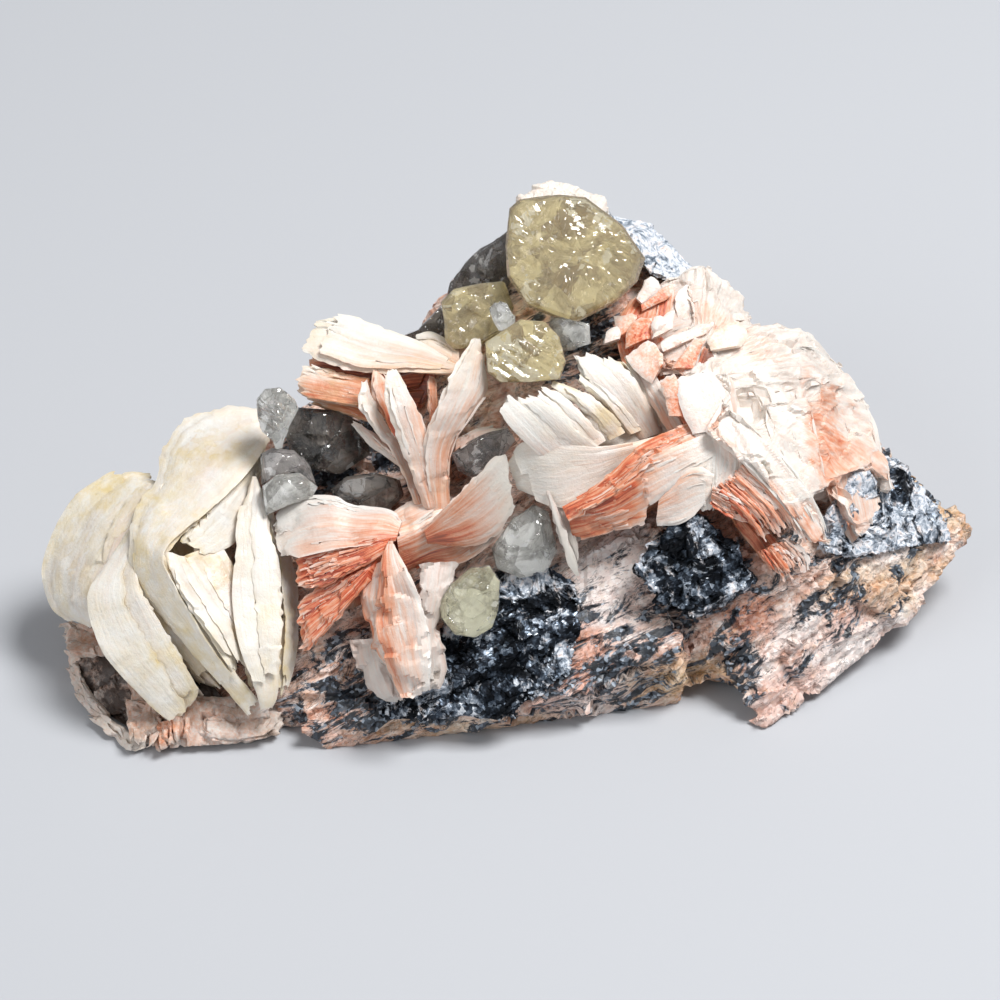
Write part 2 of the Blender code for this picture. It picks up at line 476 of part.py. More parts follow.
         [(15.5, 5.2, 11), (12.2, 3.3, 12), (9, 1, 13), (6, -0.6, 13), (1.4, 0.8, 11.5)], 1.8),
        ([(6, 3, 13), (2.5, 6, 14.5), (0.5, 8.2, 15), (-0.9, 10.2, 15)],
         [(10.5, 4.8, 13), (8, 6.8, 14.5), (5.5, 9.2, 15), (2, 11.7, 14.5)], 1.1),
        ([(9, 5, 12.5), (5.5, 8.7, 13.8), (3.2, 10.7, 13.8)],
         [(10.7, 6, 12), (8.8, 8, 13), (6.3, 10.5, 13.2), (3.3, 12.2, 13)], 1.0),
        ([(11, 6, 11.5), (8.5, 8.8, 12.6), (6.2, 10.8, 12.6), (4.5, 12.1, 12.3)],
         [(12.6, 6.8, 11), (10.8, 9, 12), (8.8, 10.6, 12), (6.2, 12.1, 11.6)], 1.0),
        ([(12.8, 6.5, 10.5), (10.5, 9.5, 11.5), (8.2, 11.5, 11.5), (6.8, 13, 11.2)],
         [(14.2, 7, 10), (12.2, 9.5, 11), (9.8, 11.8, 11), (7, 13.8, 10.6)], 1.0),
        ([(14, 6, 9.5), (11.2, 9.5, 11), (8.5, 12.2, 11.2), (6.7, 15, 10.5)],
         [(16.2, 6.8, 9), (14.5, 10.5, 10.5), (12.7, 13.2, 10.8), (9.7, 15.5, 10)], 1.3),
        ([(15.2, 6.2, 8.5), (14.2, 10, 9.8), (12.8, 12.8, 10), (11.2, 14.8, 9.5)],
         [(17.5, 6.8, 8), (16.4, 9.8, 9), (14.5, 12.8, 9.5), (12.2, 15, 9)], 1.2),
        ([(3.4, 4, 10), (11, 12, 8)], [(7.6, 1, 9.6), (16.5, 8, 8)], 7.0),
    ]),
    "barite_wedge_orange": ("barite_orange", [
        ([(6.3, -0.7, 13.5), (10, 1.8, 14), (14.2, 5.2, 13.5), (18.2, 7.3, 12.5), (20, 8.1, 12)],
         [(6.8, -2, 15), (10.5, 0, 15.5), (15, 3.2, 15), (19.2, 5.4, 13.5), (22.6, 7.2, 12)], 1.4),
        ([(6.7, -0.8, 14), (10.5, 0.3, 15), (15, 3.2, 15.5)],
         [(7.3, -4.1, 12.5), (11.5, -2.8, 13), (15.5, -2, 13)], 1.8),
        ([(12, 3, 14.5), (16.5, 4.8, 14.5), (22, 7, 13)],
         [(15, -0.5, 14), (19, 2, 14.5), (22, 3.8, 14)], 1.6),
        ([(16, 1, 14), (19, 3.2, 15), (21.6, 3, 15)],
         [(15.7, -2.4, 13), (18.2, -2.1, 14), (21.2, 0, 14.5)], 1.4),
        ([(9, -1, 11), (20, 6, 10.5)], [(10, -3, 10.5), (21, 1, 10.5)], 6.0),
    ]),
    "barite_petals_orange": ("barite_orange", [
        ([(14, 12.8, 9), (11.2, 14.8, 9), (9, 15.6, 8.5)],
         [(15.5, 15.5, 8), (14, 17.5, 8), (11.2, 17.8, 7.5)], 1.1),
        ([(15, 15, 7.5), (12.8, 17.5, 7.5), (11.8, 18.8, 7)],
         [(16.2, 17, 7), (15, 19.2, 7), (14.5, 21, 6.5)], 1.1),
        ([(16, 16.5, 6.5), (14.5, 19, 6.5), (13.6, 20.2, 6)],
         [(19, 18.5, 6), (18.2, 21, 6), (18, 22.7, 5)], 1.1),
        ([(16.8, 15.5, 8), (15.2, 16.5, 8), (15, 18.8, 7.5)],
         [(19.5, 17, 7.5), (18.4, 18.8, 7.5), (17.5, 19.8, 7)], 1.1),
        ([(16, 12, 9.5), (13.2, 13.2, 9.5), (12.5, 15, 9)],
         [(19, 15, 8.8), (16.5, 16.5, 9), (14, 16.2, 8.8)], 1.2),
        ([(17.2, 7.2, 9), (16.2, 10, 9), (15.5, 13.2, 8.5)],
         [(22, 7, 10), (20, 10, 10), (19, 13.2, 9.5)], 1.6),
        ([(16.8, 6.8, 9.5), (14.5, 10.5, 10), (12.2, 14.5, 9.5)],
         [(18.4, 7.6, 9.5), (16.4, 11, 10), (14.5, 14.8, 9.8)], 1.2),
        ([(16, 9, 6), (15, 18, 4)], [(20, 9, 6), (19, 19, 4)], 4.5),
    ]),
    "barite_mass_right": ("barite_white", [
        ([(14, 19.7, 3), (17.2, 22, 3), (20.2, 23.4, 2.5), (23.3, 20.6, 1.5), (24.5, 17.5, 1.5)],
         [(15.5, 15.5, 7), (19, 16.5, 8), (22, 16.5, 8), (23.8, 16.2, 7), (24.8, 16, 6)], 2.2),
        ([(15.5, 15.5, 8), (19, 17.5, 8), (23.5, 17.5, 6.5), (30, 16.5, 4)],
         [(16, 12.5, 10), (20, 12.8, 10.5), (24, 12.8, 10), (30, 13.5, 7.5)], 2.0),
        ([(21.2, 14.8, 9), (24.5, 17, 6), (30.3, 16.5, 3), (33.8, 13, 2)],
         [(22.2, 10.5, 11.5), (27, 10.8, 11), (31.2, 11.5, 9), (34.2, 10.5, 6)], 2.2),
        ([(19, 7.2, 12), (18.4, 10.5, 11.5), (18, 12.8, 10.8)],
         [(23.5, 7.5, 13), (23.5, 10.5, 12.5), (23, 12.8, 11.5)], 1.6),
        ([(30, 0, 14), (27.5, 5, 14), (26, 9.5, 13)],
         [(32.5, 1, 11), (31.5, 6, 11), (30.5, 10.5, 10)], 1.8),
        ([(35, -4.5, 8), (32.5, 2, 9), (30.6, 8, 9.5), (31.2, 12.5, 8.5)],
         [(38.5, 0, 4), (37.7, 6, 3), (36.2, 9.2, 2.5), (33.8, 13, 3)], 2.4),
        ([(22.2, 9.8, 13.5), (27.8, 5, 14.5), (31.5, 0, 14), (33.2, -4.5, 12.5)],
         [(20.5, 6.8, 14.5), (24.5, 3.5, 15.5), (28.5, -1.2, 15), (30.8, -4.5, 13.5)], 2.0),
        ([(24, 16, 3), (36, 2, 4)], [(22.5, 6, 9), (31, 0, 9)], 6.6),
    ]),
    "barite_spray_red": ("barite_orange", [
        ([(24.5, 4.5, 14.5), (29, 0, 14.5), (31.5, -4.5, 13)],
         [(21.2, 1, 15), (24.5, -2, 15), (26.5, -4.8, 14)], 1.4),
        ([(21.2, 1.2, 15), (23, 0.6, 15.2), (24.8, -0.4, 15)],
         [(21, -0.4, 14.5), (23, -1.6, 14.5), (25.6, -2.6, 14.4)], 1.2),
        ([(29, -4, 13), (31.2, -6, 12.5), (31.8, -9, 12)],
         [(25.5, -6, 13.5), (27, -8, 13.2), (29, -10, 12.8)], 1.4),
        ([(24, 1, 12), (30, -7, 11)], [(23, -2, 12), (27, -8, 11)], 2.5),
    ]),
    "barite_splinters": ("barite_white", [
        ([(4.6, 0.9, 13.8), (5.4, -2.4, 14), (7, -6.8, 13.4), (7.9, -8.2, 12.6)],
         [(5, 0.9, 13.8), (6.4, -2.4, 14), (7.6, -6, 13.6), (8.2, -8, 12.8)], 0.8),
        ([(5.8, -0.5, 12.8), (6.4, -2.8, 13), (7.6, -6.6, 12.4)],
         [(6.8, -0.6, 12.8), (7.4, -2.8, 13), (8.2, -6.6, 12.2)], 0.8),
        ([(5.4, -1.2, 12.2), (7.4, -7.2, 11.8)], [(6.6, -1.2, 12), (8, -7.2, 11.6)], 2.2),
    ]),
}


def top_knob():
    """A low white barite knob on the crest, behind the large honey crystal."""
    place("barite_knob_top", [block("knob", [
        at(2, 30, 1), at(3.5, 31, 0.5), at(5.2, 31.8, 0), at(6.6, 31.5, 0), at(8, 30.6, 0.5),
        at(10.3, 30, 0.5), at(10.4, 29, 0.5), at(3, 27, -6), at(6, 29.5, -7), at(10, 27, -6),
        at(2.4, 28, 0), at(9, 27, 2),
    ])], "barite_white")


def barites():
    """Each group of plates that grew together is one solid."""
    for name, (finish_name, plates) in BARITE.items():
        parts = [plate(f"{name}_{n}", *rails) for n, rails in enumerate(plates)]
        place(name, parts, finish_name)


for old in list(bpy.data.objects):
    bpy.data.objects.remove(old)

matrix_rock()
galena_masses()
cerussites()
top_knob()
barites()
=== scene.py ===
"""Looks for a cabinet specimen of bladed barite with cerussite and galena."""

import itertools
import math

import bmesh
import bpy
import numpy as np
from mathutils import Matrix, Vector


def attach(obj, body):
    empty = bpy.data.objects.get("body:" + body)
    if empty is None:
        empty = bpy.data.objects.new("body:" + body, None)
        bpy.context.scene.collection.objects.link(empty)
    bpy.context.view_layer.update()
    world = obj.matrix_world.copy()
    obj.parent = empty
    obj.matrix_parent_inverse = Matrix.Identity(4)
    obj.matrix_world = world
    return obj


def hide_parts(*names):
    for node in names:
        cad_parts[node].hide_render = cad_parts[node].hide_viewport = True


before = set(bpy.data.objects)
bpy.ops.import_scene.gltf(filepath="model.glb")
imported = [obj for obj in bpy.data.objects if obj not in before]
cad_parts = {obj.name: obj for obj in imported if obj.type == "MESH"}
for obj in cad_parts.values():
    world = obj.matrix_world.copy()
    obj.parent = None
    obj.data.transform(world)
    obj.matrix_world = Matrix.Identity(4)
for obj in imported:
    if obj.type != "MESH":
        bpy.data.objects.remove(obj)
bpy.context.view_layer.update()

# The view. The crystal face looks forwards and up, so the eye stands in front of it, 40 degrees
# above the horizon. A place on that face is (across, up, near) in millimetres: across and up lie
# in a plane that leans back by that angle, and near stands out of it towards the eye.
MM = 0.001
TILT = math.radians(40.0)
EYE_DISTANCE = 400.0
PLANE_CENTRE = np.array([-1.17, -1.75, 12.0])
RIGHT = np.array([1.0, 0.0, 0.0])
UPWARDS = np.array([0.0, math.sin(TILT), math.cos(TILT)])
TOWARDS = np.array([0.0, -math.cos(TILT), math.sin(TILT)])
SENSOR = 36.0
PICTURE_WIDTH = 100.0


def at(places):
    """Places on the crystal face, in metres: the plane's centre, plus across and up, which shrink
    a little as near brings them towards the eye, plus near along the line of sight."""
    across, up, near = np.moveaxis(np.asarray(places, float), -1, 0)
    taper = 1.0 - near / EYE_DISTANCE
    flat = (taper * across)[..., None] * RIGHT + (taper * up)[..., None] * UPWARDS
    return (PLANE_CENTRE + flat + near[..., None] * TOWARDS) * MM


eye_data = bpy.data.cameras.new("eye")
eye_data.sensor_width = SENSOR
eye_data.lens = SENSOR * EYE_DISTANCE / PICTURE_WIDTH
eye_data.clip_start = 0.01
eye_data.clip_end = 20.0
eye = bpy.data.objects.new("eye", eye_data)
bpy.context.scene.collection.objects.link(eye)
eye_turn = Matrix(np.stack([RIGHT, UPWARDS, TOWARDS], axis=1).tolist()).to_4x4()
eye.matrix_world = Matrix.Translation((PLANE_CENTRE + EYE_DISTANCE * TOWARDS) * MM) @ eye_turn
bpy.context.scene.camera = eye

# The rock. A broken lump of sugary barite and quartz stained with iron, which carries every
# crystal. It is banded, so it split along the bands into long flat splinters, with streaks of
# dark sulphide. Its underside is flat where it rests.
ROCK_VOXEL = 0.36 * MM
BAND = np.array([0.88, 0.30, 0.37]) / np.linalg.norm([0.88, 0.30, 0.37])
BAND_STRETCH = 0.35


def linear(code):
    """An sRGB hex colour as linear red, green, blue and alpha."""
    parts = [int(code[k:k + 2], 16) / 255.0 for k in (1, 3, 5)]
    return (*[c / 12.92 if c <= 0.04045 else ((c + 0.055) / 1.055) ** 2.4 for c in parts], 1.0)


def node(material, kind, settings=None, **links):
    """Adds a node to the material. A setting names a property, or an input by its name or
    number. A link gives an input, by its name with _ for a space or as in_ and its number, the
    socket that feeds it."""
    made = material.node_tree.nodes.new(kind)
    for key, value in (settings or {}).items():
        if isinstance(key, str) and hasattr(made, key):
            setattr(made, key, value)
        else:
            made.inputs[key].default_value = value
    for key, source in links.items():
        target = int(key[3:]) if key.startswith("in_") else key.replace("_", " ")
        material.node_tree.links.new(source, made.inputs[target])
    return made


def new_material(name):
    """A material with only its output node, and that node."""
    material = bpy.data.materials.new(name)
    material.use_nodes = True
    material.node_tree.nodes.clear()
    return material, node(material, "ShaderNodeOutputMaterial")


def ramp(material, source, stops):
    """A colour ramp through (position, hex colour) stops, fed by source."""
    made = node(material, "ShaderNodeValToRGB", Fac=source)
    while len(made.color_ramp.elements) < len(stops):
        made.color_ramp.elements.new(0.5)
    for element, (position, code) in zip(made.color_ramp.elements, stops):
        element.position = position
        element.color = linear(code)
    return made.outputs["Color"]


def mix(material, share, first, second):
    """A colour between two: share is a number or a socket, and each colour a hex code or a
    socket."""
    made = node(material, "ShaderNodeMix", {"data_type": "RGBA"})
    for number, value in ((0, share), (6, first), (7, second)):
        if isinstance(value, str):
            made.inputs[number].default_value = linear(value)
        elif isinstance(value, float):
            made.inputs[number].default_value = value
        else:
            material.node_tree.links.new(value, made.inputs[number])
    return made.outputs[2]


def maths(material, operation, *values):
    """A maths node on numbers or sockets."""
    made = node(material, "ShaderNodeMath", {"operation": operation})
    for number, value in enumerate(values):
        if isinstance(value, float):
            made.inputs[number].default_value = value
        else:
            material.node_tree.links.new(value, made.inputs[number])
    return made.outputs["Value"]


def hashed(cells, seed):
    """A number from 0 to 1 for each whole-numbered cell: its three indices times three large
    primes, mixed by shifts and products of whole numbers."""
    key = cells[..., 0] * 73856093 + cells[..., 1] * 19349663 + cells[..., 2] * 83492791 + seed * 2654435761
    key = (key ^ (key >> 15)) * 2246822519 & 0xFFFFFFFF
    key = (key ^ (key >> 13)) * 3266489917 & 0xFFFFFFFF
    return ((key ^ (key >> 16)) & 0xFFFFFF) / 0xFFFFFF


def clouds(points, size, seed):
    """Smooth noise from -1 to 1: each lattice corner around a point has a hashed value, and the
    eight are blended by smoothstep weights. size is the lattice spacing."""
    cell = points / size
    low = np.floor(cell).astype(np.int64)
    part = cell - low
    part = part * part * (3.0 - 2.0 * part)
    total = np.zeros(points.shape[:-1])
    for corner in itertools.product((0, 1), repeat=3):
        weight = np.prod(np.where(corner, part, 1.0 - part), axis=-1)
        total += weight * (2.0 * hashed(low + np.array(corner), seed) - 1.0)
    return total


def facets(points, size, seed, directions=None):
    """Height of a surface broken into flat facets, in the points' own unit: each point belongs to
    the nearest of the jittered grain centres, one to a cell, and its height is how far it lies
    from that centre along the grain's own hashed direction."""
    cell = points / size
    low = np.floor(cell).astype(np.int64)
    best = np.full(points.shape[:-1], np.inf)
    height = np.zeros(points.shape[:-1])
    for corner in itertools.product((-1, 0, 1), repeat=3):
        grain = low + np.array(corner)
        jitter = np.stack([hashed(grain, seed + k) for k in (1, 2, 3)], axis=-1)
        away = cell - grain - jitter
        distance = (away ** 2).sum(-1)
        if directions is None:
            lean = np.stack([hashed(grain, seed + k) for k in (4, 5, 6)], axis=-1) * 2.0 - 1.0
        else:
            pick = (hashed(grain, seed + 4) * len(directions)).astype(int) % len(directions)
            lean = directions[pick]
        nearer = distance < best
        best = np.where(nearer, distance, best)
        height = np.where(nearer, (away * lean).sum(-1), height)
    return height * size


def banded(points):
    """The points in coordinates that are squeezed along the bands, so that a pattern made on
    them is drawn out along the bands."""
    along = points @ BAND
    return points + (BAND_STRETCH - 1.0) * along[..., None] * BAND


def as_even_net(piece, voxel):
    """Remakes a piece's skin as an even net of small quads, and gives its points and outward
    normals as arrays."""
    net = piece.modifiers.new("net", "REMESH")
    net.mode = "VOXEL"
    net.voxel_size = voxel
    graph = bpy.context.evaluated_depsgraph_get()
    fine = bpy.data.meshes.new_from_object(piece.evaluated_get(graph))
    piece.modifiers.clear()
    piece.data = fine
    points = np.empty(len(fine.vertices) * 3)
    normals = np.empty(len(fine.vertices) * 3)
    fine.vertices.foreach_get("co", points)
    fine.vertices.foreach_get("normal", normals)
    return points.reshape(-1, 3), normals.reshape(-1, 3)


def remeshed_copy(cad_name, name, voxel):
    """A new object with a merged copy of a CAD node's mesh as an even net, its points and its
    outward normals."""
    shell = bmesh.new()
    shell.from_mesh(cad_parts[cad_name].data)
    bmesh.ops.remove_doubles(shell, verts=shell.verts, dist=0.002 * MM)
    mesh = bpy.data.meshes.new(name)
    shell.to_mesh(mesh)
    shell.free()
    piece = bpy.data.objects.new(name, mesh)
    bpy.context.scene.collection.objects.link(piece)
    return piece, *as_even_net(piece, voxel)


def note(mesh, label, kind, rows):
    """Stores one row of numbers for each of the mesh's points, as an attribute that the material
    reads."""
    layer = mesh.attributes.new(label, kind, "POINT")
    layer.data.foreach_set("color" if kind == "FLOAT_COLOR" else "vector", rows.astype(np.float32).ravel())


def settle(piece, points, material, slot, *nodes):
    """Writes the points into the piece's mesh, gives it its material and its place in the part."""
    piece.data.vertices.foreach_set("co", points.astype(np.float32).ravel())
    piece.data.update()
    piece.data.materials.clear()
    piece.data.materials.append(material)
    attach(piece, "root")
    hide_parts(*nodes)


# Patches in the rock's broken face, as (across, up, half length, half width, turn in degrees,
# strength) in millimetres: dark sulphide, orange-brown iron stain, white sugar and ochre.
SULPHIDE = [
    (-8, -19, 6, 3, 10, 1.3), (13, -16.5, 4.5, 3.4, 30, 1.1), (23.5, -16, 2, 4.5, 20, 1.2), (37.5, -4, 6, 1.4, 28, 1.2),
    (33, -9.5, 2.6, 2, 35, 1.1), (-15, -18, 5, 5, -30, 0.9), (12, -20, 2, 1.4, 20, 1.0), (40, 1, 5, 4, 40, 0.9),
    (31, -10.5, 3, 1, 35, 1.0), (39, -7, 1.4, 1, 0, 1.0), (16, -14, 5, 2, 40, 0.8), (-27, -14, 3, 5, 20, 0.7),
    (19, -8, 7, 5, 0, 0.8), (2, -14, 9, 8, 0, 0.8), (29, -4, 3, 3, 30, 0.8), (-19, -21, 4, 3, 0, 0.7),
    (7, 16, 6, 4, -20, 1.3), (-14, 5, 8, 5, 0, 1.0), (41, -5, 2.4, 0.8, 40, 0.9), (34, -13, 3, 0.7, 35, 0.9),
    (29, -17, 2.6, 0.7, 60, 0.9), (38.5, -11, 2, 0.6, 35, 0.8)]
IRON = [
    (24.6, -11.8, 2.2, 2.6, 30, 1.3), (8.5, -15.5, 2.4, 3, 60, 1.2), (27.5, -19, 5, 1.8, 38, 0.7),
    (36, -10.5, 5, 1.5, 35, 0.7), (3, -21, 3, 1.5, 10, 0.6), (22, -3, 4, 3, -40, 0.9), (16, -16, 3, 1, 40, 0.6),
    (-16, -23, 4, 1.4, 0, 0.6), (20, -18, 3, 1, 20, 0.6)]
SUGAR = [(10, -8, 5, 6, 20, 1.0), (33, -15, 9, 2.4, 38, 1.3), (29, -12.5, 4, 1.6, 35, 1.0), (6, -20, 6, 2.4, 8, 0.6),
         (22, 25, 8, 4, -40, 1.0), (2, 27, 8, 6, 0, 1.0), (38, -5.5, 4, 1.2, 35, 0.9), (26, -17, 2, 1.2, 40, 0.8)]
OCHRE = [(18.5, -17.5, 4, 2, 15, 1.0), (43.5, 0.5, 5.5, 1.4, -43, 1.2), (40, -8, 4, 2, 30, 0.8), (-4, -22.5, 8, 1.4, 3, 0.7),
         (20, -19.5, 4, 1.2, 20, 0.9), (34, -8, 3, 1.2, 20, 0.7)]


def patchwork(points, patches, seed):
    """How much of a stain each point carries, from 0 to 1: inside an ellipse on the crystal face
    the share rises from its rim to its middle, broken up by banded noise."""
    place = points / MM - PLANE_CENTRE
    across, up = place @ RIGHT, place @ UPWARDS
    rough = 0.9 * clouds(banded(points), 1.6 * MM, seed) + 0.7 * clouds(banded(points), 0.6 * MM, seed + 1)
    share = np.zeros(len(points))
    for middle_across, middle_up, half_length, half_width, turn, strength in patches:
        c, s = math.cos(math.radians(turn)), math.sin(math.radians(turn))
        x, y = across - middle_across, up - middle_up
        distance = np.hypot((c * x + s * y) / half_length, (c * y - s * x) / half_width)
        share = np.maximum(share, strength * np.clip(1.6 - distance + 0.55 * rough, 0.0, 1.0))
    return np.clip(share, 0.0, 1.0)


# Sugary barite and quartz: a dull granular break, salmon, tan and white, streaked with dark grey
# along the bands.
sugar_rock, sugar_out = new_material("sugary_banded_barite_rock")
sugar_place = node(sugar_rock, "ShaderNodeTexCoord").outputs["Object"]
sugar_band = node(sugar_rock, "ShaderNodeAttribute", {"attribute_name": "band"}).outputs["Vector"]
stains = node(sugar_rock, "ShaderNodeAttribute", {"attribute_name": "stains"})
stain_parts = node(sugar_rock, "ShaderNodeSeparateColor", Color=stains.outputs["Color"]).outputs
broad = node(sugar_rock, "ShaderNodeTexNoise", {
    "Scale": 300.0, "Detail": 6.0, "Roughness": 0.62, "Distortion": 0.7}, Vector=sugar_band)
streaks = node(sugar_rock, "ShaderNodeTexNoise", {
    "Scale": 1100.0, "Detail": 6.0, "Roughness": 0.72, "Distortion": 0.6}, Vector=sugar_band)
sooty = node(sugar_rock, "ShaderNodeTexNoise", {
    "Scale": 620.0, "Detail": 7.0, "Roughness": 0.76, "Distortion": 0.9}, Vector=sugar_band)
grains = node(sugar_rock, "ShaderNodeTexVoronoi", {"Scale": 2700.0}, Vector=sugar_place)
grain_value = node(sugar_rock, "ShaderNodeSeparateColor", Color=grains.outputs["Color"]).outputs["Red"]
rock_colour = ramp(sugar_rock, broad.outputs["Fac"], [
    (0.30, "#7A5342"), (0.39, "#C77F60"), (0.46, "#E8B49B"), (0.53, "#F2E4DA"), (0.60, "#D6A27F"), (0.70, "#7F6350")])
streak_colour = ramp(sugar_rock, streaks.outputs["Fac"], [
    (0.38, "#382E2B"), (0.44, "#A86E53"), (0.51, "#E8C3AE"), (0.60, "#FDF9F5")])
grain_colour = ramp(sugar_rock, grain_value, [
    (0.0, "#57504C"), (0.2, "#C8957D"), (0.5, "#E6CFC2"), (0.8, "#FDF9F5"), (1.0, "#D3A878")])
rock_colour = mix(sugar_rock, 0.55, rock_colour, streak_colour)
rock_colour = mix(sugar_rock, maths(sugar_rock, "MULTIPLY", stain_parts["Blue"], 0.75), rock_colour, "#F0ECEA")
rock_colour = mix(sugar_rock, maths(sugar_rock, "MULTIPLY", stain_parts["Green"], 0.7), rock_colour, "#C9764F")
rock_colour = mix(sugar_rock, maths(sugar_rock, "MULTIPLY", stains.outputs["Alpha"], 0.6), rock_colour, "#CDAE74")
rock_colour = mix(sugar_rock, 0.25, rock_colour, grain_colour)

# Thin dark seams run between the bands, where the noise crosses its middle value.
seams = node(sugar_rock, "ShaderNodeTexNoise", {
    "Scale": 480.0, "Detail": 5.0, "Roughness": 0.68, "Distortion": 1.4}, Vector=sugar_band)
seam_distance = maths(sugar_rock, "ABSOLUTE", maths(sugar_rock, "SUBTRACT", seams.outputs["Fac"], 0.5))
seam_share = ramp(sugar_rock, seam_distance, [(0.0, "#FFFFFF"), (0.018, "#000000")])
rock_colour = mix(sugar_rock, maths(sugar_rock, "MULTIPLY", seam_share, 0.7), rock_colour, "#2B2624")
dark_share = maths(sugar_rock, "ADD", sooty.outputs["Fac"], maths(sugar_rock, "MULTIPLY", stain_parts["Red"], 0.17))
# Dark sulphide in streaks: near black, and its brightest grains are painted blue-grey glints.
sulphide_colour_and_glints = ramp(sugar_rock, grain_value, [(0.0, "#111317"), (0.5, "#272C34"), (0.8, "#4B5561"), (1.0, "#A2AEBB")])
dark_step = ramp(sugar_rock, dark_share, [(0.60, "#000000"), (0.65, "#FFFFFF")])
rock_colour = mix(sugar_rock, dark_step, rock_colour, sulphide_colour_and_glints)
sugar_height = maths(sugar_rock, "ADD", streaks.outputs["Fac"], maths(sugar_rock, "MULTIPLY", grain_value, 0.5))
sugar_bump = node(sugar_rock, "ShaderNodeBump", {"Strength": 0.75, "Distance": 0.00022}, Height=sugar_height)
sugar_rough = node(sugar_rock, "ShaderNodeMapRange", {"To Min": 0.7, "To Max": 0.4}, Value=dark_step)
sugar_skin = node(sugar_rock, "ShaderNodeBsdfPrincipled", {"IOR": 1.6}, Base_Color=rock_colour,
                  Roughness=sugar_rough.outputs["Result"], Normal=sugar_bump.outputs["Normal"])
sugar_rock.node_tree.links.new(sugar_skin.outputs["BSDF"], sugar_out.inputs["Surface"])

rock, rock_points, rock_normals = remeshed_copy("matrix_rock", "matrix_rock_broken", ROCK_VOXEL)
band_points = banded(rock_points)
lumps = 0.14 * facets(rock_points, 7.0 * MM, 11) + 0.34 * facets(band_points, 2.2 * MM, 23)
lumps += 0.30 * facets(band_points, 0.9 * MM, 37) + 0.16 * MM * clouds(band_points, 0.5 * MM, 41)
clear_of_base = np.clip(rock_points[:, 2] / (1.2 * MM), 0.0, 1.0)
broken = rock_points + rock_normals * (clear_of_base * lumps)[:, None]
broken[:, 2] = np.maximum(broken[:, 2], 0.0)
stain_rows = [
    patchwork(rock_points, patches, 200 + n) for n, patches in enumerate((SULPHIDE, IRON, SUGAR, OCHRE))]
note(rock.data, "stains", "FLOAT_COLOR", np.stack(stain_rows, axis=1))
note(rock.data, "band", "FLOAT_VECTOR", band_points)
settle(rock, broken, sugar_rock, "matrix", "matrix_rock")

# The galena. Lead-grey sulphide that cleaves into cubes, so its broken face is a mosaic of
# small square steps, most dull and nearly black. Near-white cells in its colour are painted
# glints that stand in for mirror-bright steps. It lies level with the rock.
CLEAVAGE = np.concatenate([np.eye(3), -np.eye(3)])
GALENA_SINK = 0.55 * MM

lead_ore, lead_out = new_material("cleaved_galena")
lead_place = node(lead_ore, "ShaderNodeTexCoord").outputs["Object"]
lead_cell = node(lead_ore, "ShaderNodeTexVoronoi", {"Scale": 1700.0}, Vector=lead_place)
lead_patch = node(lead_ore, "ShaderNodeTexNoise", {"Scale": 330.0, "Detail": 6.0, "Roughness": 0.7}, Vector=lead_place)
lead_value = node(lead_ore, "ShaderNodeSeparateColor", Color=lead_cell.outputs["Color"]).outputs
lead_share = maths(lead_ore, "ADD", lead_patch.outputs["Fac"],
                   maths(lead_ore, "MULTIPLY_ADD", lead_value["Red"], 0.22, -0.11))
# Painted glints: by patch and cell, the colour runs from near black up to near white.
lead_colour_and_glints = ramp(lead_ore, lead_share, [
    (0.42, "#101318"), (0.52, "#272D36"), (0.59, "#525D6A"), (0.66, "#9CA6B2"), (0.73, "#EEF2F6")])

# Sugary barite grew over parts of it, as thin pale and salmon crusts. The crust attribute gives
# how much of each mass they cover.
crusted = node(lead_ore, "ShaderNodeAttribute", {"attribute_name": "crust"}).outputs["Fac"]
crust_noise = node(lead_ore, "ShaderNodeTexNoise", {
    "Scale": 260.0, "Detail": 7.0, "Roughness": 0.72, "Distortion": 0.9}, Vector=lead_place)
crust_fine = node(lead_ore, "ShaderNodeTexNoise", {
    "Scale": 800.0, "Detail": 5.0, "Roughness": 0.7, "Distortion": 1.6}, Vector=lead_place)
crust_share = ramp(lead_ore, maths(lead_ore, "ADD", crust_noise.outputs["Fac"], crusted), [
    (0.57, "#000000"), (0.63, "#FFFFFF")])
crust_colour = ramp(lead_ore, crust_fine.outputs["Fac"], [
    (0.36, "#4E5965"), (0.45, "#9CA6B2"), (0.54, "#DCE0E6"), (0.66, "#E6D3CA")])
lead_colour_and_glints = mix(lead_ore, crust_share, lead_colour_and_glints, crust_colour)
lead_metal = node(lead_ore, "ShaderNodeMapRange", {"To Min": 0.8, "To Max": 0.0}, Value=crust_share)
lead_rough = node(lead_ore, "ShaderNodeMapRange", {"To Min": 0.32, "To Max": 0.65}, Value=lead_value["Green"])
lead_bump = node(lead_ore, "ShaderNodeBump", {"Strength": 0.6, "Distance": 0.0002}, Height=lead_value["Blue"])
lead_skin = node(lead_ore, "ShaderNodeBsdfPrincipled", None, Base_Color=lead_colour_and_glints,
                 Metallic=lead_metal.outputs["Result"], Roughness=lead_rough.outputs["Result"],
                 Normal=lead_bump.outputs["Normal"])
lead_ore.node_tree.links.new(lead_skin.outputs["BSDF"], lead_out.inputs["Surface"])

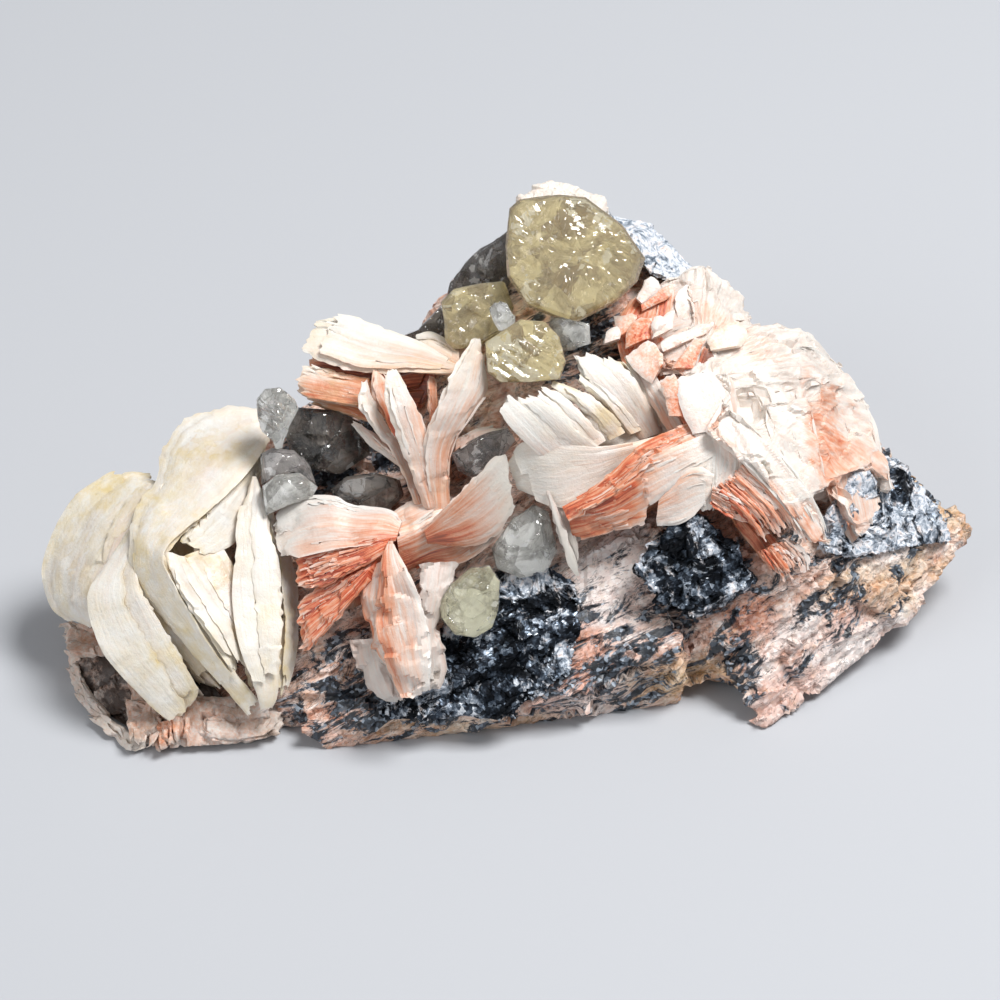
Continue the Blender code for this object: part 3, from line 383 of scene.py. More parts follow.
for seed, (cad_name, crust, relief) in enumerate([
    ("galena_centre", 0.055, 1.0), ("galena_right", 0.055, 1.0), ("galena_end", 0.14, 0.8),
    ("galena_crust_top", 0.20, 0.4),
]):
    lump, lump_points, lump_normals = remeshed_copy(cad_name, cad_name + "_cleaved", 0.22 * MM)
    cube_turn = np.array(Matrix.Rotation(0.9 + seed, 3, "Y") @ Matrix.Rotation(0.6 + 0.7 * seed, 3, "X"))
    axes = CLEAVAGE @ cube_turn.T
    steps = 0.28 * facets(lump_points, 3.2 * MM, 51 + seed, axes)
    steps += 0.34 * facets(lump_points, 1.1 * MM, 61 + seed, axes)
    steps += 0.22 * facets(lump_points, 0.55 * MM, 71 + seed)
    steps += 1.1 * MM * clouds(banded(lump_points), 2.4 * MM, 81 + seed)
    cleaved = lump_points + lump_normals * (relief * (steps - GALENA_SINK))[:, None]
    cleaved[:, 2] = np.maximum(cleaved[:, 2], 0.0)
    note(lump.data, "crust", "FLOAT_VECTOR", np.full((len(lump_points), 3), crust))
    settle(lump, cleaved, lead_ore, "galena", cad_name)

# The cerussite. Lead carbonate in stubby transparent crystals, honey, colourless or smoky. It
# bends light almost as strongly as diamond. Each crystal is an outline with straight sides,
# carried from its front face back to its root, widest at the girdle. Its faces are etched into
# small steps, and cracks and milky veils lie inside it, with white flecks painted on the veils as glints.
ETCH_AXES = np.array([[1.0, 0.2, 0.1], [-0.3, 1.0, 0.3], [0.2, -0.4, 1.0], [-0.8, -0.5, 0.4], [0.4, 0.9, -0.6]])


def outline_of(corners, count):
    """A closed outline with about count points, shared among its straight sides by length."""
    corners = np.asarray(corners, float)
    after = np.roll(corners, -1, axis=0)
    sides = np.linalg.norm(after - corners, axis=1)
    shares = np.maximum(1, np.round(count * sides / sides.sum()).astype(int))
    return np.concatenate([
        corner + (end - corner) * np.linspace(0.0, 1.0, share, endpoint=False)[:, None]
        for corner, end, share in zip(corners, after, shares)
    ])


def crown(offsets, steep, seed):
    """How far a crystal's front lies below its summit, in millimetres: the lowest of seven planes
    that lean different ways from near its middle, up to the slope steep, so that they meet in
    the edges of flat facets."""
    rng = np.random.default_rng(seed)
    turn = (np.arange(7) + rng.uniform(-0.4, 0.4, 7)) * 2.0 * math.pi / 7
    slope = steep * rng.uniform(0.15, 1.0, 7)
    start = rng.uniform(0.0, 0.25, 7) * np.linalg.norm(offsets, axis=-1).max()
    across, up = offsets[..., 0, None], offsets[..., 1, None]
    fall = (start - slope * (across * np.cos(turn) + up * np.sin(turn))).min(axis=-1)
    return fall - fall.max()


def ringed(corners, count, rows, steep, seed):
    """A closed surface from rings: parameter one runs round the outline, parameter two along
    rows of (near, size, lean across, lean up, crown share). A ring is the outline's middle plus
    size times the outline, lowered by its share of the crown. The first and last rings close on
    a point. Returns its points and faces."""
    ring = outline_of(corners, count)
    middle = ring.mean(axis=0)
    near, size, lean_across, lean_up, crown_share = np.array(rows, float).T
    lean = np.stack([lean_across, lean_up], axis=1)[:, None, :]
    offsets = size[:, None, None] * (ring - middle)
    depth = near[:, None] + crown_share[:, None] * crown(offsets, steep, seed)
    points = at(np.concatenate([middle + offsets + lean, depth[..., None]], axis=-1))
    total, around = points.shape[:2]
    index = np.arange(total * around).reshape(total, around)
    after = np.roll(index, -1, axis=1)
    quads = np.stack([index[:-1], after[:-1], after[1:], index[1:]], axis=-1).reshape(-1, 4)
    poles = np.stack([points[0].mean(axis=0), points[-1].mean(axis=0)])
    front_pole, back_pole = total * around, total * around + 1
    fans = [[front_pole, b, a] for a, b in zip(index[0].tolist(), after[0].tolist())]
    fans += [[back_pole, a, b] for a, b in zip(index[-1].tolist(), after[-1].tolist())]
    return np.concatenate([points.reshape(-1, 3), poles]), quads.tolist() + fans


def shell_mesh(name, points, faces):
    """A mesh whose faces point outwards."""
    mesh = bpy.data.meshes.new(name)
    mesh.from_pydata(points.tolist(), [], faces)
    shell = bmesh.new()
    shell.from_mesh(mesh)
    bmesh.ops.recalc_face_normals(shell, faces=shell.faces)
    shell.to_mesh(mesh)
    shell.free()
    return mesh


def glassy(name, tint, density, roughness, base, passed, etching):
    """A clear crystal: plain transmission at the mineral's refractive index, less a share that
    its cloudy skin scatters, with absorption that tints thick parts more, and an etched skin."""
    material, out = new_material(name)
    place = node(material, "ShaderNodeTexCoord").outputs["Object"]
    etch = node(material, "ShaderNodeTexVoronoi", {"Scale": 1100.0}, Vector=place)
    bump = node(material, "ShaderNodeBump", {"Strength": etching, "Distance": 0.0002},
                Height=etch.outputs["Distance"])
    skin = node(material, "ShaderNodeBsdfPrincipled", {
        "Base Color": linear(base), "Transmission Weight": passed, "IOR": 1.75, "Roughness": roughness,
    }, Normal=bump.outputs["Normal"])
    body = node(material, "ShaderNodeVolumeAbsorption", {"Color": linear(tint), "Density": density})
    material.node_tree.links.new(skin.outputs["BSDF"], out.inputs["Surface"])
    material.node_tree.links.new(body.outputs["Volume"], out.inputs["Volume"])
    return material


def veil(name, dark, pale, thin, thick):
    """The milky veils inside a crystal: a dull broken sheet with cloudy bands, thin to thick, and
    clusters of small square white flecks, painted glints where it has parted."""
    material, out = new_material(name)
    place = node(material, "ShaderNodeTexCoord").outputs["Object"]
    cloud = node(material, "ShaderNodeTexNoise", {
        "Scale": 260.0, "Detail": 6.0, "Roughness": 0.7, "Distortion": 0.8}, Vector=place)
    flats = node(material, "ShaderNodeTexVoronoi", {"distance": "CHEBYCHEV", "Scale": 1500.0}, Vector=place)
    glint_value = node(material, "ShaderNodeSeparateColor", Color=flats.outputs["Color"]).outputs["Red"]
    glint_clusters = node(material, "ShaderNodeTexNoise", {"Scale": 170.0, "Detail": 3.0, "Roughness": 0.6}, Vector=place)
    planes = node(material, "ShaderNodeTexVoronoi", {"Scale": 430.0}, Vector=place)
    plane_value = node(material, "ShaderNodeSeparateColor", Color=planes.outputs["Color"]).outputs["Red"]
    shade = maths(material, "ADD", cloud.outputs["Fac"], maths(material, "MULTIPLY_ADD", plane_value, 0.24, -0.12))
    colour = ramp(material, shade, [(0.36, dark), (0.62, pale)])
    # Painted glints: clusters of small square white flecks, opaque on the veil.
    glint_field = maths(material, "ADD", glint_value, maths(material, "MULTIPLY_ADD", glint_clusters.outputs["Fac"], 4.0, -2.1))
    painted_glint = ramp(material, glint_field, [(0.86, "#000000"), (0.92, "#FFFFFF")])
    colour = mix(material, painted_glint, colour, "#FFFFFF")
    gaps = node(material, "ShaderNodeMapRange", {
        "From Min": 0.38, "From Max": 0.58, "To Min": thin, "To Max": thick}, Value=shade)
    solid = maths(material, "MAXIMUM", gaps.outputs["Result"], painted_glint)
    skin = node(material, "ShaderNodeBsdfPrincipled", {"Roughness": 0.4}, Base_Color=colour, Alpha=solid)
    material.node_tree.links.new(skin.outputs["BSDF"], out.inputs["Surface"])
    return material


# Each kind: its glass, its veils, its slot, the slope of its facets, and how strongly its skin is
# broken into flats of 3.2 mm and pits of 0.9 mm.
honey = (glassy("honey_cerussite", "#F2D592", 26.0, 0.06, "#FFF6D8", 0.86, 0.10),
         veil("honey_veils", "#A98C4A", "#FFF6D0", 0.6, 1.0), "cerussite_honey", 0.26, 0.07, 0.11)
pale_honey = (glassy("pale_honey_cerussite", "#F6EECA", 12.0, 0.03, "#FDFCEE", 0.9, 0.08),
              veil("pale_honey_veils", "#B3A87C", "#FFFDEA", 0.45, 1.0), "cerussite_honey", 0.4, 0.16, 0.08)
clear = (glassy("colourless_cerussite", "#F2F0EC", 4.0, 0.02, "#FDFDFB", 0.93, 0.05),
         veil("pale_veils", "#B2AEA4", "#FFFFFC", 0.4, 1.0), "cerussite_clear", 0.5, 0.24, 0.05)
grey = (glassy("grey_cerussite", "#BDB8B6", 26.0, 0.02, "#F2F0EE", 0.95, 0.03),
        veil("grey_veils", "#57524F", "#CFC9C6", 0.5, 0.95), "cerussite_smoky", 0.5, 0.26, 0.02)
smoky = (glassy("smoky_cerussite", "#9A9084", 42.0, 0.02, "#ECE8E3", 0.96, 0.02),
         veil("smoky_veils", "#1C1917", "#A8A098", 0.45, 0.95), "cerussite_smoky", 0.55, 0.32, 0.02)

# Each crystal: kind, front, back, lean of the front face, share of the front that is flat, points
# round the outline, corners.
CRYSTALS = {
    "cerussite_honey_large": (honey, 11.5, -0.5, (-0.3, 0.4), 0.90, 150, [
        (0.8, 25), (1.2, 28.8), (2.2, 29.7), (6, 30.2), (8.8, 29.9), (12.5, 27.2), (14.8, 23.8),
        (14, 21.5), (12, 19.5), (7.6, 17.2), (3, 19), (1, 22)]),
    "cerussite_honey_side": (honey, 8.5, 0.5, (-0.2, 0.3), 0.90, 90, [
        (-5.7, 19.5), (-4.5, 20.8), (-2, 21.4), (0.6, 21.6), (1.6, 19), (0.5, 16.5), (-2, 15),
        (-4.4, 14.8), (-5.3, 15.6), (-5.4, 17.5)]),
    "cerussite_barrel": (clear, 11.5, 8.9, (0, 0), 0.8, 60, [
        (-1, 19.2), (0, 19.9), (0.7, 19.7), (1.5, 18.2), (1.2, 17.4), (0, 16.9), (-0.6, 17.8)]),
    "cerussite_ribbed": (honey, 14.0, 6.0, (0, 0.3), 0.86, 110, [
        (-1.5, 15.5), (2, 17.8), (4.5, 17.6), (6, 16), (6.6, 13.5), (6, 11.8), (3, 11.5), (0, 11.5),
        (-1.3, 12.5)]),
    "cerussite_grey_small": (clear, 10.8, 5.0, (0, 0), 0.8, 60, [
        (4.8, 17.8), (6, 18.5), (9, 17.6), (9.2, 15.6), (7.5, 15), (6.2, 15), (5.5, 16)]),
    "cerussite_heart_twin": (clear, 12.5, 9.0, (0, 0), 0.78, 80, [
        (-24.3, 10), (-23.5, 11), (-22, 11.2), (-20.5, 10), (-20.2, 9), (-21, 7.5), (-21.6, 6),
        (-21.8, 5.2), (-22.4, 5.1), (-22.7, 6), (-23.8, 6.8), (-24.2, 8)]),
    "cerussite_smoky_back": (smoky, 8.9, 0.0, (0, 0), 0.84, 90, [
        (-22.0, 7.5), (-20, 9.2), (-16, 9.0), (-13.5, 7.5), (-13.0, 4.5), (-16, 2.6), (-20, 3.2)]),
    "cerussite_smoky_front": (smoky, 10.6, 2.0, (0, 0), 0.84, 90, [
        (-17, 1), (-15.5, 2.2), (-12.5, 2.7), (-10, 2), (-9.6, 0.5), (-11, -1), (-14, -0.8), (-16.5, 0)]),
    "cerussite_smoky_left": (grey, 11.0, 3.5, (0, 0), 0.84, 70, [
        (-23.9, 4.6), (-22.8, 5.2), (-20.6, 5), (-19, 3.6), (-18.3, 1.4), (-20.5, 2.9), (-22.5, 2.4),
        (-23.8, 1.6)]),
    "cerussite_pale_lens": (clear, 13.0, 6.0, (0, 0), 0.7, 70, [
        (-23.8, 1.4), (-22.2, 2.6), (-20, 2.7), (-18.2, 1.3), (-18.8, 0.2), (-21.5, -0.7),
        (-23.5, -1.6)]),
    "cerussite_smoky_middle": (grey, 9.8, 2.0, (0, 0), 0.84, 70, [
        (-4.9, 4.5), (-3.8, 5.8), (-1, 6.8), (0.8, 7.2), (1.5, 6), (0, 4), (-2.8, 2.2), (-4.2, 3)]),
    "cerussite_honey_low": (pale_honey, 15.0, 7.0, (0, 0), 0.84, 90, [
        (-6, -10), (-5, -8.5), (-3, -6.8), (-1, -6.5), (0, -8), (-0.2, -11), (-0.8, -12.8),
        (-2.5, -13.8), (-4.5, -13.5), (-5.8, -12)]),
    "cerussite_grey_low": (clear, 12.8, 5.0, (0, 0), 0.84, 90, [
        (-0.8, -4.8), (1.4, -1.8), (3.4, -0.4), (4.8, -1.2), (5.7, -5), (4.6, -7.2), (2, -7.8), (-0.4, -6.9)]),
    "cerussite_dark_top": (smoky, 1.5, -7.5, (0, 0), 0.84, 80, [
        (-5.4, 20), (-5, 21.7), (-3.5, 23.8), (-2, 25.2), (0, 26.2), (1.2, 27.2), (2.4, 24),
        (0, 20), (-3, 19)]),
    "cerussite_dark_side": (smoky, 3.5, -4.5, (0, 0), 0.84, 70, [
        (-9.6, 16.5), (-8.2, 17), (-6.6, 18.8), (-5.6, 19.8), (-5, 18), (-5, 15.8), (-7, 15.4),
        (-9, 15.8)]),
}
FRONT_RINGS = 20
VEIL_BELOW = 0.8
VEIL_SIZE = 0.94
RIB_AXIS = (0.55 * RIGHT + 0.83 * UPWARDS) / 0.9 / MM
RIBBED = {"cerussite_ribbed": 0.16, "cerussite_barrel": 0.14, "cerussite_heart_twin": 0.20,
          "cerussite_honey_large": 0.05, "cerussite_honey_low": 0.06}

for seed, (cad_name, entry) in enumerate(CRYSTALS.items()):
    (glass, milk, slot, steep, flats, pits), front, back, lean, flat_share, count, corners = entry
    depth = front - back
    rows = [(front, flat_share * k / FRONT_RINGS, *lean, 1.0) for k in range(1, FRONT_RINGS + 1)]
    for share, size in [(0.03, 0.35), (0.06, 0.7), (0.09, 1.0), (0.12, 1.0), (0.45, 0.97), (0.7, 0.9), (1.0, 0.7)]:
        width = flat_share + size * (1.0 - flat_share) if share < 0.3 else size
        fade = max(0.0, 1.0 - 3.0 * share)
        rows.append((front - share * depth, width, lean[0] * (1.0 - share), lean[1] * (1.0 - share), fade))
    points, faces = ringed(corners, count, rows, steep, 400 + seed)
    mesh = shell_mesh(cad_name + "_crystal", points, faces)
    normals = np.empty(len(points) * 3)
    mesh.vertices.foreach_get("normal", normals)
    wave = points @ RIB_AXIS
    ribs = RIBBED.get(cad_name, 0.0) * MM * (4.0 * np.abs(wave - np.floor(wave) - 0.5) - 1.0)
    ribs *= np.clip(1.5 * clouds(points, 2.4 * MM, 310 + seed) + 0.6, 0.0, 1.0)
    cut = flats * facets(points, 3.2 * MM, 300 + seed, ETCH_AXES) + ribs
    cut += pits * facets(points, 0.9 * MM, 320 + seed, ETCH_AXES)
    facing = np.clip(1.5 * (normals.reshape(-1, 3) @ TOWARDS) - 0.5, 0.15, 1.0)
    points = points + normals.reshape(-1, 3) * (facing * cut)[:, None]
    mesh.vertices.foreach_set("co", points.astype(np.float32).ravel())
    mesh.materials.append(glass)
    gem = bpy.data.objects.new(cad_name + "_crystal", mesh)
    bpy.context.scene.collection.objects.link(gem)
    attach(gem, "root")
    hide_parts(cad_name)

    veil_near = front - min(VEIL_BELOW, 0.3 * depth)
    veil_rows = [(veil_near, VEIL_SIZE * k / FRONT_RINGS, *lean, 1.0) for k in range(1, FRONT_RINGS + 1)]
    veil_rows += [(veil_near - 0.4, 0.96 * VEIL_SIZE * k / FRONT_RINGS, *lean, 1.0) for k in range(FRONT_RINGS, 0, -1)]
    points, faces = ringed(corners, count // 2, veil_rows, steep, 400 + seed)
    waves = 0.25 * MM * clouds(points, 2.5 * MM, 340 + seed) + 0.16 * facets(points, 1.4 * MM, 360 + seed)
    points = points + TOWARDS * waves[:, None]
    sheet = bpy.data.objects.new(cad_name + "_veils", shell_mesh(cad_name + "_veils", points, faces))
    sheet.data.materials.append(milk)
    bpy.context.scene.collection.objects.link(sheet)
    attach(sheet, "root")
    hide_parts(cad_name)

# The barite. Heavy spar in thin sharp-edged blades that overlap like shingles and spread from a
# root. Iron stained the roots orange; the tips are white and pearly. Every blade is ribbed along
# its length, and its surface has flaked into shallow steps.
CELL = 0.26 * MM
RAIL_POINTS = 80

PLAIN = {"comb": False, "glass": False, "crumbly": False, "blades": 4, "fibres": 0, "half_spans": (0.14, 0.32),
         "leaf": 0.12, "tooth": 0.5, "wander": 0.3, "relief": 0.08, "chalk": 0.04, "waves": 0.7, "crumple": 0.0,
         "rounding": 0.3, "lift": 1.0, "stain": (0.1, 0.1, 0.0, 0.0), "tan": 0.25, "clear": 0.0, "painted_shade": 0.0}
SHELL = PLAIN | {"blades": 3, "half_spans": (0.3, 0.45), "leaf": 0.07, "tooth": 0.7, "wander": 0.55, "relief": 0.05,
                 "chalk": 0.09, "waves": 0.45, "crumple": 0.05, "rounding": 0.12, "lift": 0.8,
                 "stain": (0.04, 0.08, 0.0, 0.03), "tan": 1.0}
SHELL_SPLIT = SHELL | {"half_spans": (0.25, 0.4), "tooth": 1.0, "tan": 0.6, "lift": 1.0, "wander": 0.4}
SHELL_SHADE = SHELL | {"blades": 4, "tan": 1.1, "stain": (0.12, 0.2, 0.08, 0.12), "painted_shade": 0.06, "lift": 1.2}
# Shell roots fill the gaps between plates and carry painted shade.
SHELL_ROOT = SHELL | {"tan": 1.2, "stain": (0.2, 0.2, 0.2, 0.2), "painted_shade": 0.2}
# The rosette under the large shell lies in its shadow: these looks carry painted shade, darkest in the hollow.
UNDER = PLAIN | {"crumbly": True, "blades": 6, "tooth": 1.1, "wander": 0.7, "relief": 0.22, "chalk": 0.2, "waves": 1.2,
                 "crumple": 0.3, "lift": 0.8, "rounding": 0.1, "stain": (0.35, 0.25, 0.2, 0.25), "tan": 0.2,
                 "painted_shade": 0.42}
UNDER_HOLLOW = UNDER | {"painted_shade": 1.6}
UNDER_RIM = UNDER | {"blades": 3, "tooth": 1.6, "wander": 1.0, "stain": (0.2, 0.2, 0.1, 0.1), "painted_shade": 0.12}
UNDER_NEEDLES = UNDER | {"comb": True, "blades": 7, "stain": (0.5, 0.4, 0.3, 0.3), "painted_shade": 0.3}
BUNDLE = PLAIN | {"tooth": 0.9, "lift": 0.7, "stain": (0.15, 0.35, 0.0, 0.15), "tan": 0.55, "fibres": 6, "relief": 0.12}
BUNDLE_ORANGE = BUNDLE | {"blades": 6, "stain": (0.7, 0.7, 0.15, 0.5), "tan": 0.6, "fibres": 10, "tooth": 1.2,
                          "relief": 0.16}
PALE_BLADE = PLAIN | {"blades": 2, "half_spans": (0.3, 0.45), "leaf": 0.08, "stain": (0.3, 0.4, 0.06, 0.2),
                      "lift": 0.5, "fibres": 2, "rounding": 0.4, "chalk": 0.06, "crumple": 0.08, "wander": 0.4}
ORANGE_BLADE = PALE_BLADE | {"stain": (0.95, 0.9, 0.35, 0.5)}
# Roots fill the gaps between plates: iron-stained deep orange, darkened further by painted shade.
ROOT = PLAIN | {"blades": 3, "stain": (1.0, 1.0, 0.8, 0.8), "painted_shade": 0.45}
BAND_WHITE = PLAIN | {"blades": 3, "half_spans": (0.25, 0.4), "leaf": 0.06, "stain": (0.14, 0.7, 0.0, 0.2), "tan": 0.0,
                      "fibres": 4, "lift": 0.25, "clear": 0.35, "wander": 0.5, "waves": 0.7, "crumple": 0.06,
                      "relief": 0.05}
FIBROUS = PLAIN | {"blades": 5, "leaf": 0.06, "stain": (0.7, 0.85, 0.7, 0.75), "tan": 0.0, "fibres": 26,
                   "tooth": 0.9, "relief": 0.2, "crumple": 0.16, "lift": 0.35, "wander": 0.45}
WING = PLAIN | {"blades": 3, "half_spans": (0.3, 0.45), "leaf": 0.05, "stain": (0.55, 0.95, 0.0, 0.15), "tan": 0.05,
                "fibres": 8, "lift": 0.25, "clear": 0.3, "rounding": 0.1, "waves": 0.3, "wander": 0.4}
LEAF = WING | {"glass": True, "blades": 2, "fibres": 0, "stain": (0.6, 0.8, 0.0, 0.0), "tan": 0.15, "clear": 0.2}
FOLDED = PLAIN | {"blades": 4, "half_spans": (0.25, 0.4), "stain": (0.6, 0.2, 0.5, 0.05),
                  "tan": 0.05, "tooth": 0.5, "relief": 0.03, "chalk": 0.05, "waves": 2.4, "crumple": 0.34,
                  "wander": 0.4, "lift": 0.8, "clear": 0.1}
GLASSY = PLAIN | {"glass": True, "blades": 2, "stain": (0.16, 0.12, 0.03, 0.2), "tan": 0.0, "clear": 0.1,
                  "tooth": 0.6, "lift": 0.5, "wander": 0.5, "crumple": 0.3, "relief": 0.04}
COMB = PLAIN | {"blades": 3, "stain": (0.2, 0.15, 0.0, 0.0), "tan": 0.3, "tooth": 1.4, "rounding": 0.15, "lift": 0.6}
COMB_TAN = COMB | {"tan": 0.9}
COMB_BODY = COMB | {"half_spans": (0.3, 0.4), "leaf": 0.05, "lift": 0.25, "clear": 0.35, "tooth": 0.5,
                    "relief": 0.04, "waves": 0.5, "stain": (0.25, 0.2, 0.03, 0.03)}
WEDGE = PLAIN | {"blades": 4, "half_spans": (0.2, 0.4), "leaf": 0.06, "stain": (0.7, 0.75, 0.6, 0.45), "tan": 0.1,
                 "fibres": 8, "tooth": 0.6, "lift": 0.4, "crumple": 0.14, "wander": 0.45}
WEDGE_PALE = WEDGE | {"blades": 2, "half_spans": (0.35, 0.45), "stain": (0.5, 0.22, 0.12, 0.04), "clear": 0.3,
                      "tooth": 0.25, "wander": 0.2, "crumple": 0.05, "fibres": 4, "relief": 0.05}
PETAL = PLAIN | {"crumbly": True, "blades": 1, "stain": (0.3, 0.5, 0.18, 0.34), "tan": 0.0, "rounding": 0.15,
                 "waves": 0.5, "crumple": 0.08, "tooth": 0.4, "wander": 0.3, "relief": 0.02, "chalk": 0.02}
PETAL_RED = PETAL | {"stain": (0.45, 0.8, 0.3, 0.5)}
PETAL_WHITE = PETAL | {"stain": (0.16, 0.2, 0.04, 0.08)}
PETAL_PEACH = PETAL | {"stain": (0.2, 0.1, 0.2, 0.08), "tan": 0.7}
MASS = PLAIN | {"blades": 3, "half_spans": (0.25, 0.4), "leaf": 0.05, "stain": (0.2, 0.2, 0.05, 0.12), "tan": 0.1,
                "tooth": 0.4, "fibres": 10, "relief": 0.07, "chalk": 0.04, "lift": 0.3, "clear": 0.2,
                "crumple": 0.08, "waves": 0.9, "wander": 0.3, "painted_shade": 0.06}
# This plate of the mass lies lower and further back, and painted shade greys it.
MASS_GREY = MASS | {"painted_shade": 0.24, "relief": 0.16, "crumple": 0.3}
MASS_FIBRES = MASS | {"blades": 1, "fibres": 30, "stain": (0.08, 0.2, 0.03, 0.12), "lift": 0.1, "crumple": 0.0,
                      "wander": 0.15, "relief": 0.06, "painted_shade": 0.0, "tooth": 0.8}
MASS_ORANGE = MASS | {"stain": (0.35, 0.1, 0.5, 0.1), "fibres": 16, "lift": 0.3, "tooth": 0.5}
SPRAY = FIBROUS | {"comb": True, "blades": 24, "fibres": 50, "stain": (0.3, 0.75, 0.2, 0.6), "chalk": 0.08,
                   "crumple": 0.1, "painted_shade": 0.06, "tooth": 1.2}
SPLINTER = PLAIN | {"glass": True, "blades": 2, "clear": 0.6, "tooth": 0.8, "rounding": 0.9, "tan": 0.0}


def rail_curve(rail):
    """RAIL_POINTS points along a smooth curve through the rail's points, evenly spaced by its
    chord lengths: a Catmull-Rom curve with mirrored ends."""
    knots = at(rail)
    if len(knots) == 2:
        knots = np.array([knots[0], (knots[0] + knots[1]) / 2, knots[1]])
    reach = np.concatenate([[0.0], np.cumsum(np.linalg.norm(np.diff(knots, axis=0), axis=1))])
    wanted = np.linspace(0.0, reach[-1], RAIL_POINTS)
    span = np.clip(np.searchsorted(reach, wanted, side="right") - 1, 0, len(knots) - 2)
    part = ((wanted - reach[span]) / (reach[span + 1] - reach[span]))[:, None]
    padded = np.concatenate([[2 * knots[0] - knots[1]], knots, [2 * knots[-1] - knots[-2]]])
    p0, p1, p2, p3 = (padded[span + k] for k in range(4))
    return 0.5 * (2 * p1 + (p2 - p0) * part + (2 * p0 - 5 * p1 + 4 * p2 - p3) * part ** 2
                  + (3 * p1 - p0 - 3 * p2 + p3) * part ** 3)


def closed_sheet(top, bottom):
    """Points and outward faces of a closed sheet: the top grid, the bottom grid turned over, and
    a rim strip round their edges."""
    rows, cols = top.shape[:2]
    index = np.arange(rows * cols).reshape(rows, cols)
    grid = np.stack([index[:-1, :-1], index[:-1, 1:], index[1:, 1:], index[1:, :-1]], axis=-1).reshape(-1, 4)
    edge = np.concatenate([index[0, :-1], index[:-1, -1], index[-1, :0:-1], index[:0:-1, 0]])
    after = np.roll(edge, -1)
    below = rows * cols
    rim = np.stack([after, edge, edge + below, after + below], axis=-1)
    points = np.concatenate([top.reshape(-1, 3), bottom.reshape(-1, 3)])
    faces = np.concatenate([grid, grid[:, ::-1] + below, rim])
    p0, p1, p2, p3 = (points[faces[:, k]] - points[0] for k in range(4))
    volume = (p0 * np.cross(p1, p2)).sum() + (p0 * np.cross(p2, p3)).sum()
    return points, faces if volume > 0 else faces[:, ::-1]


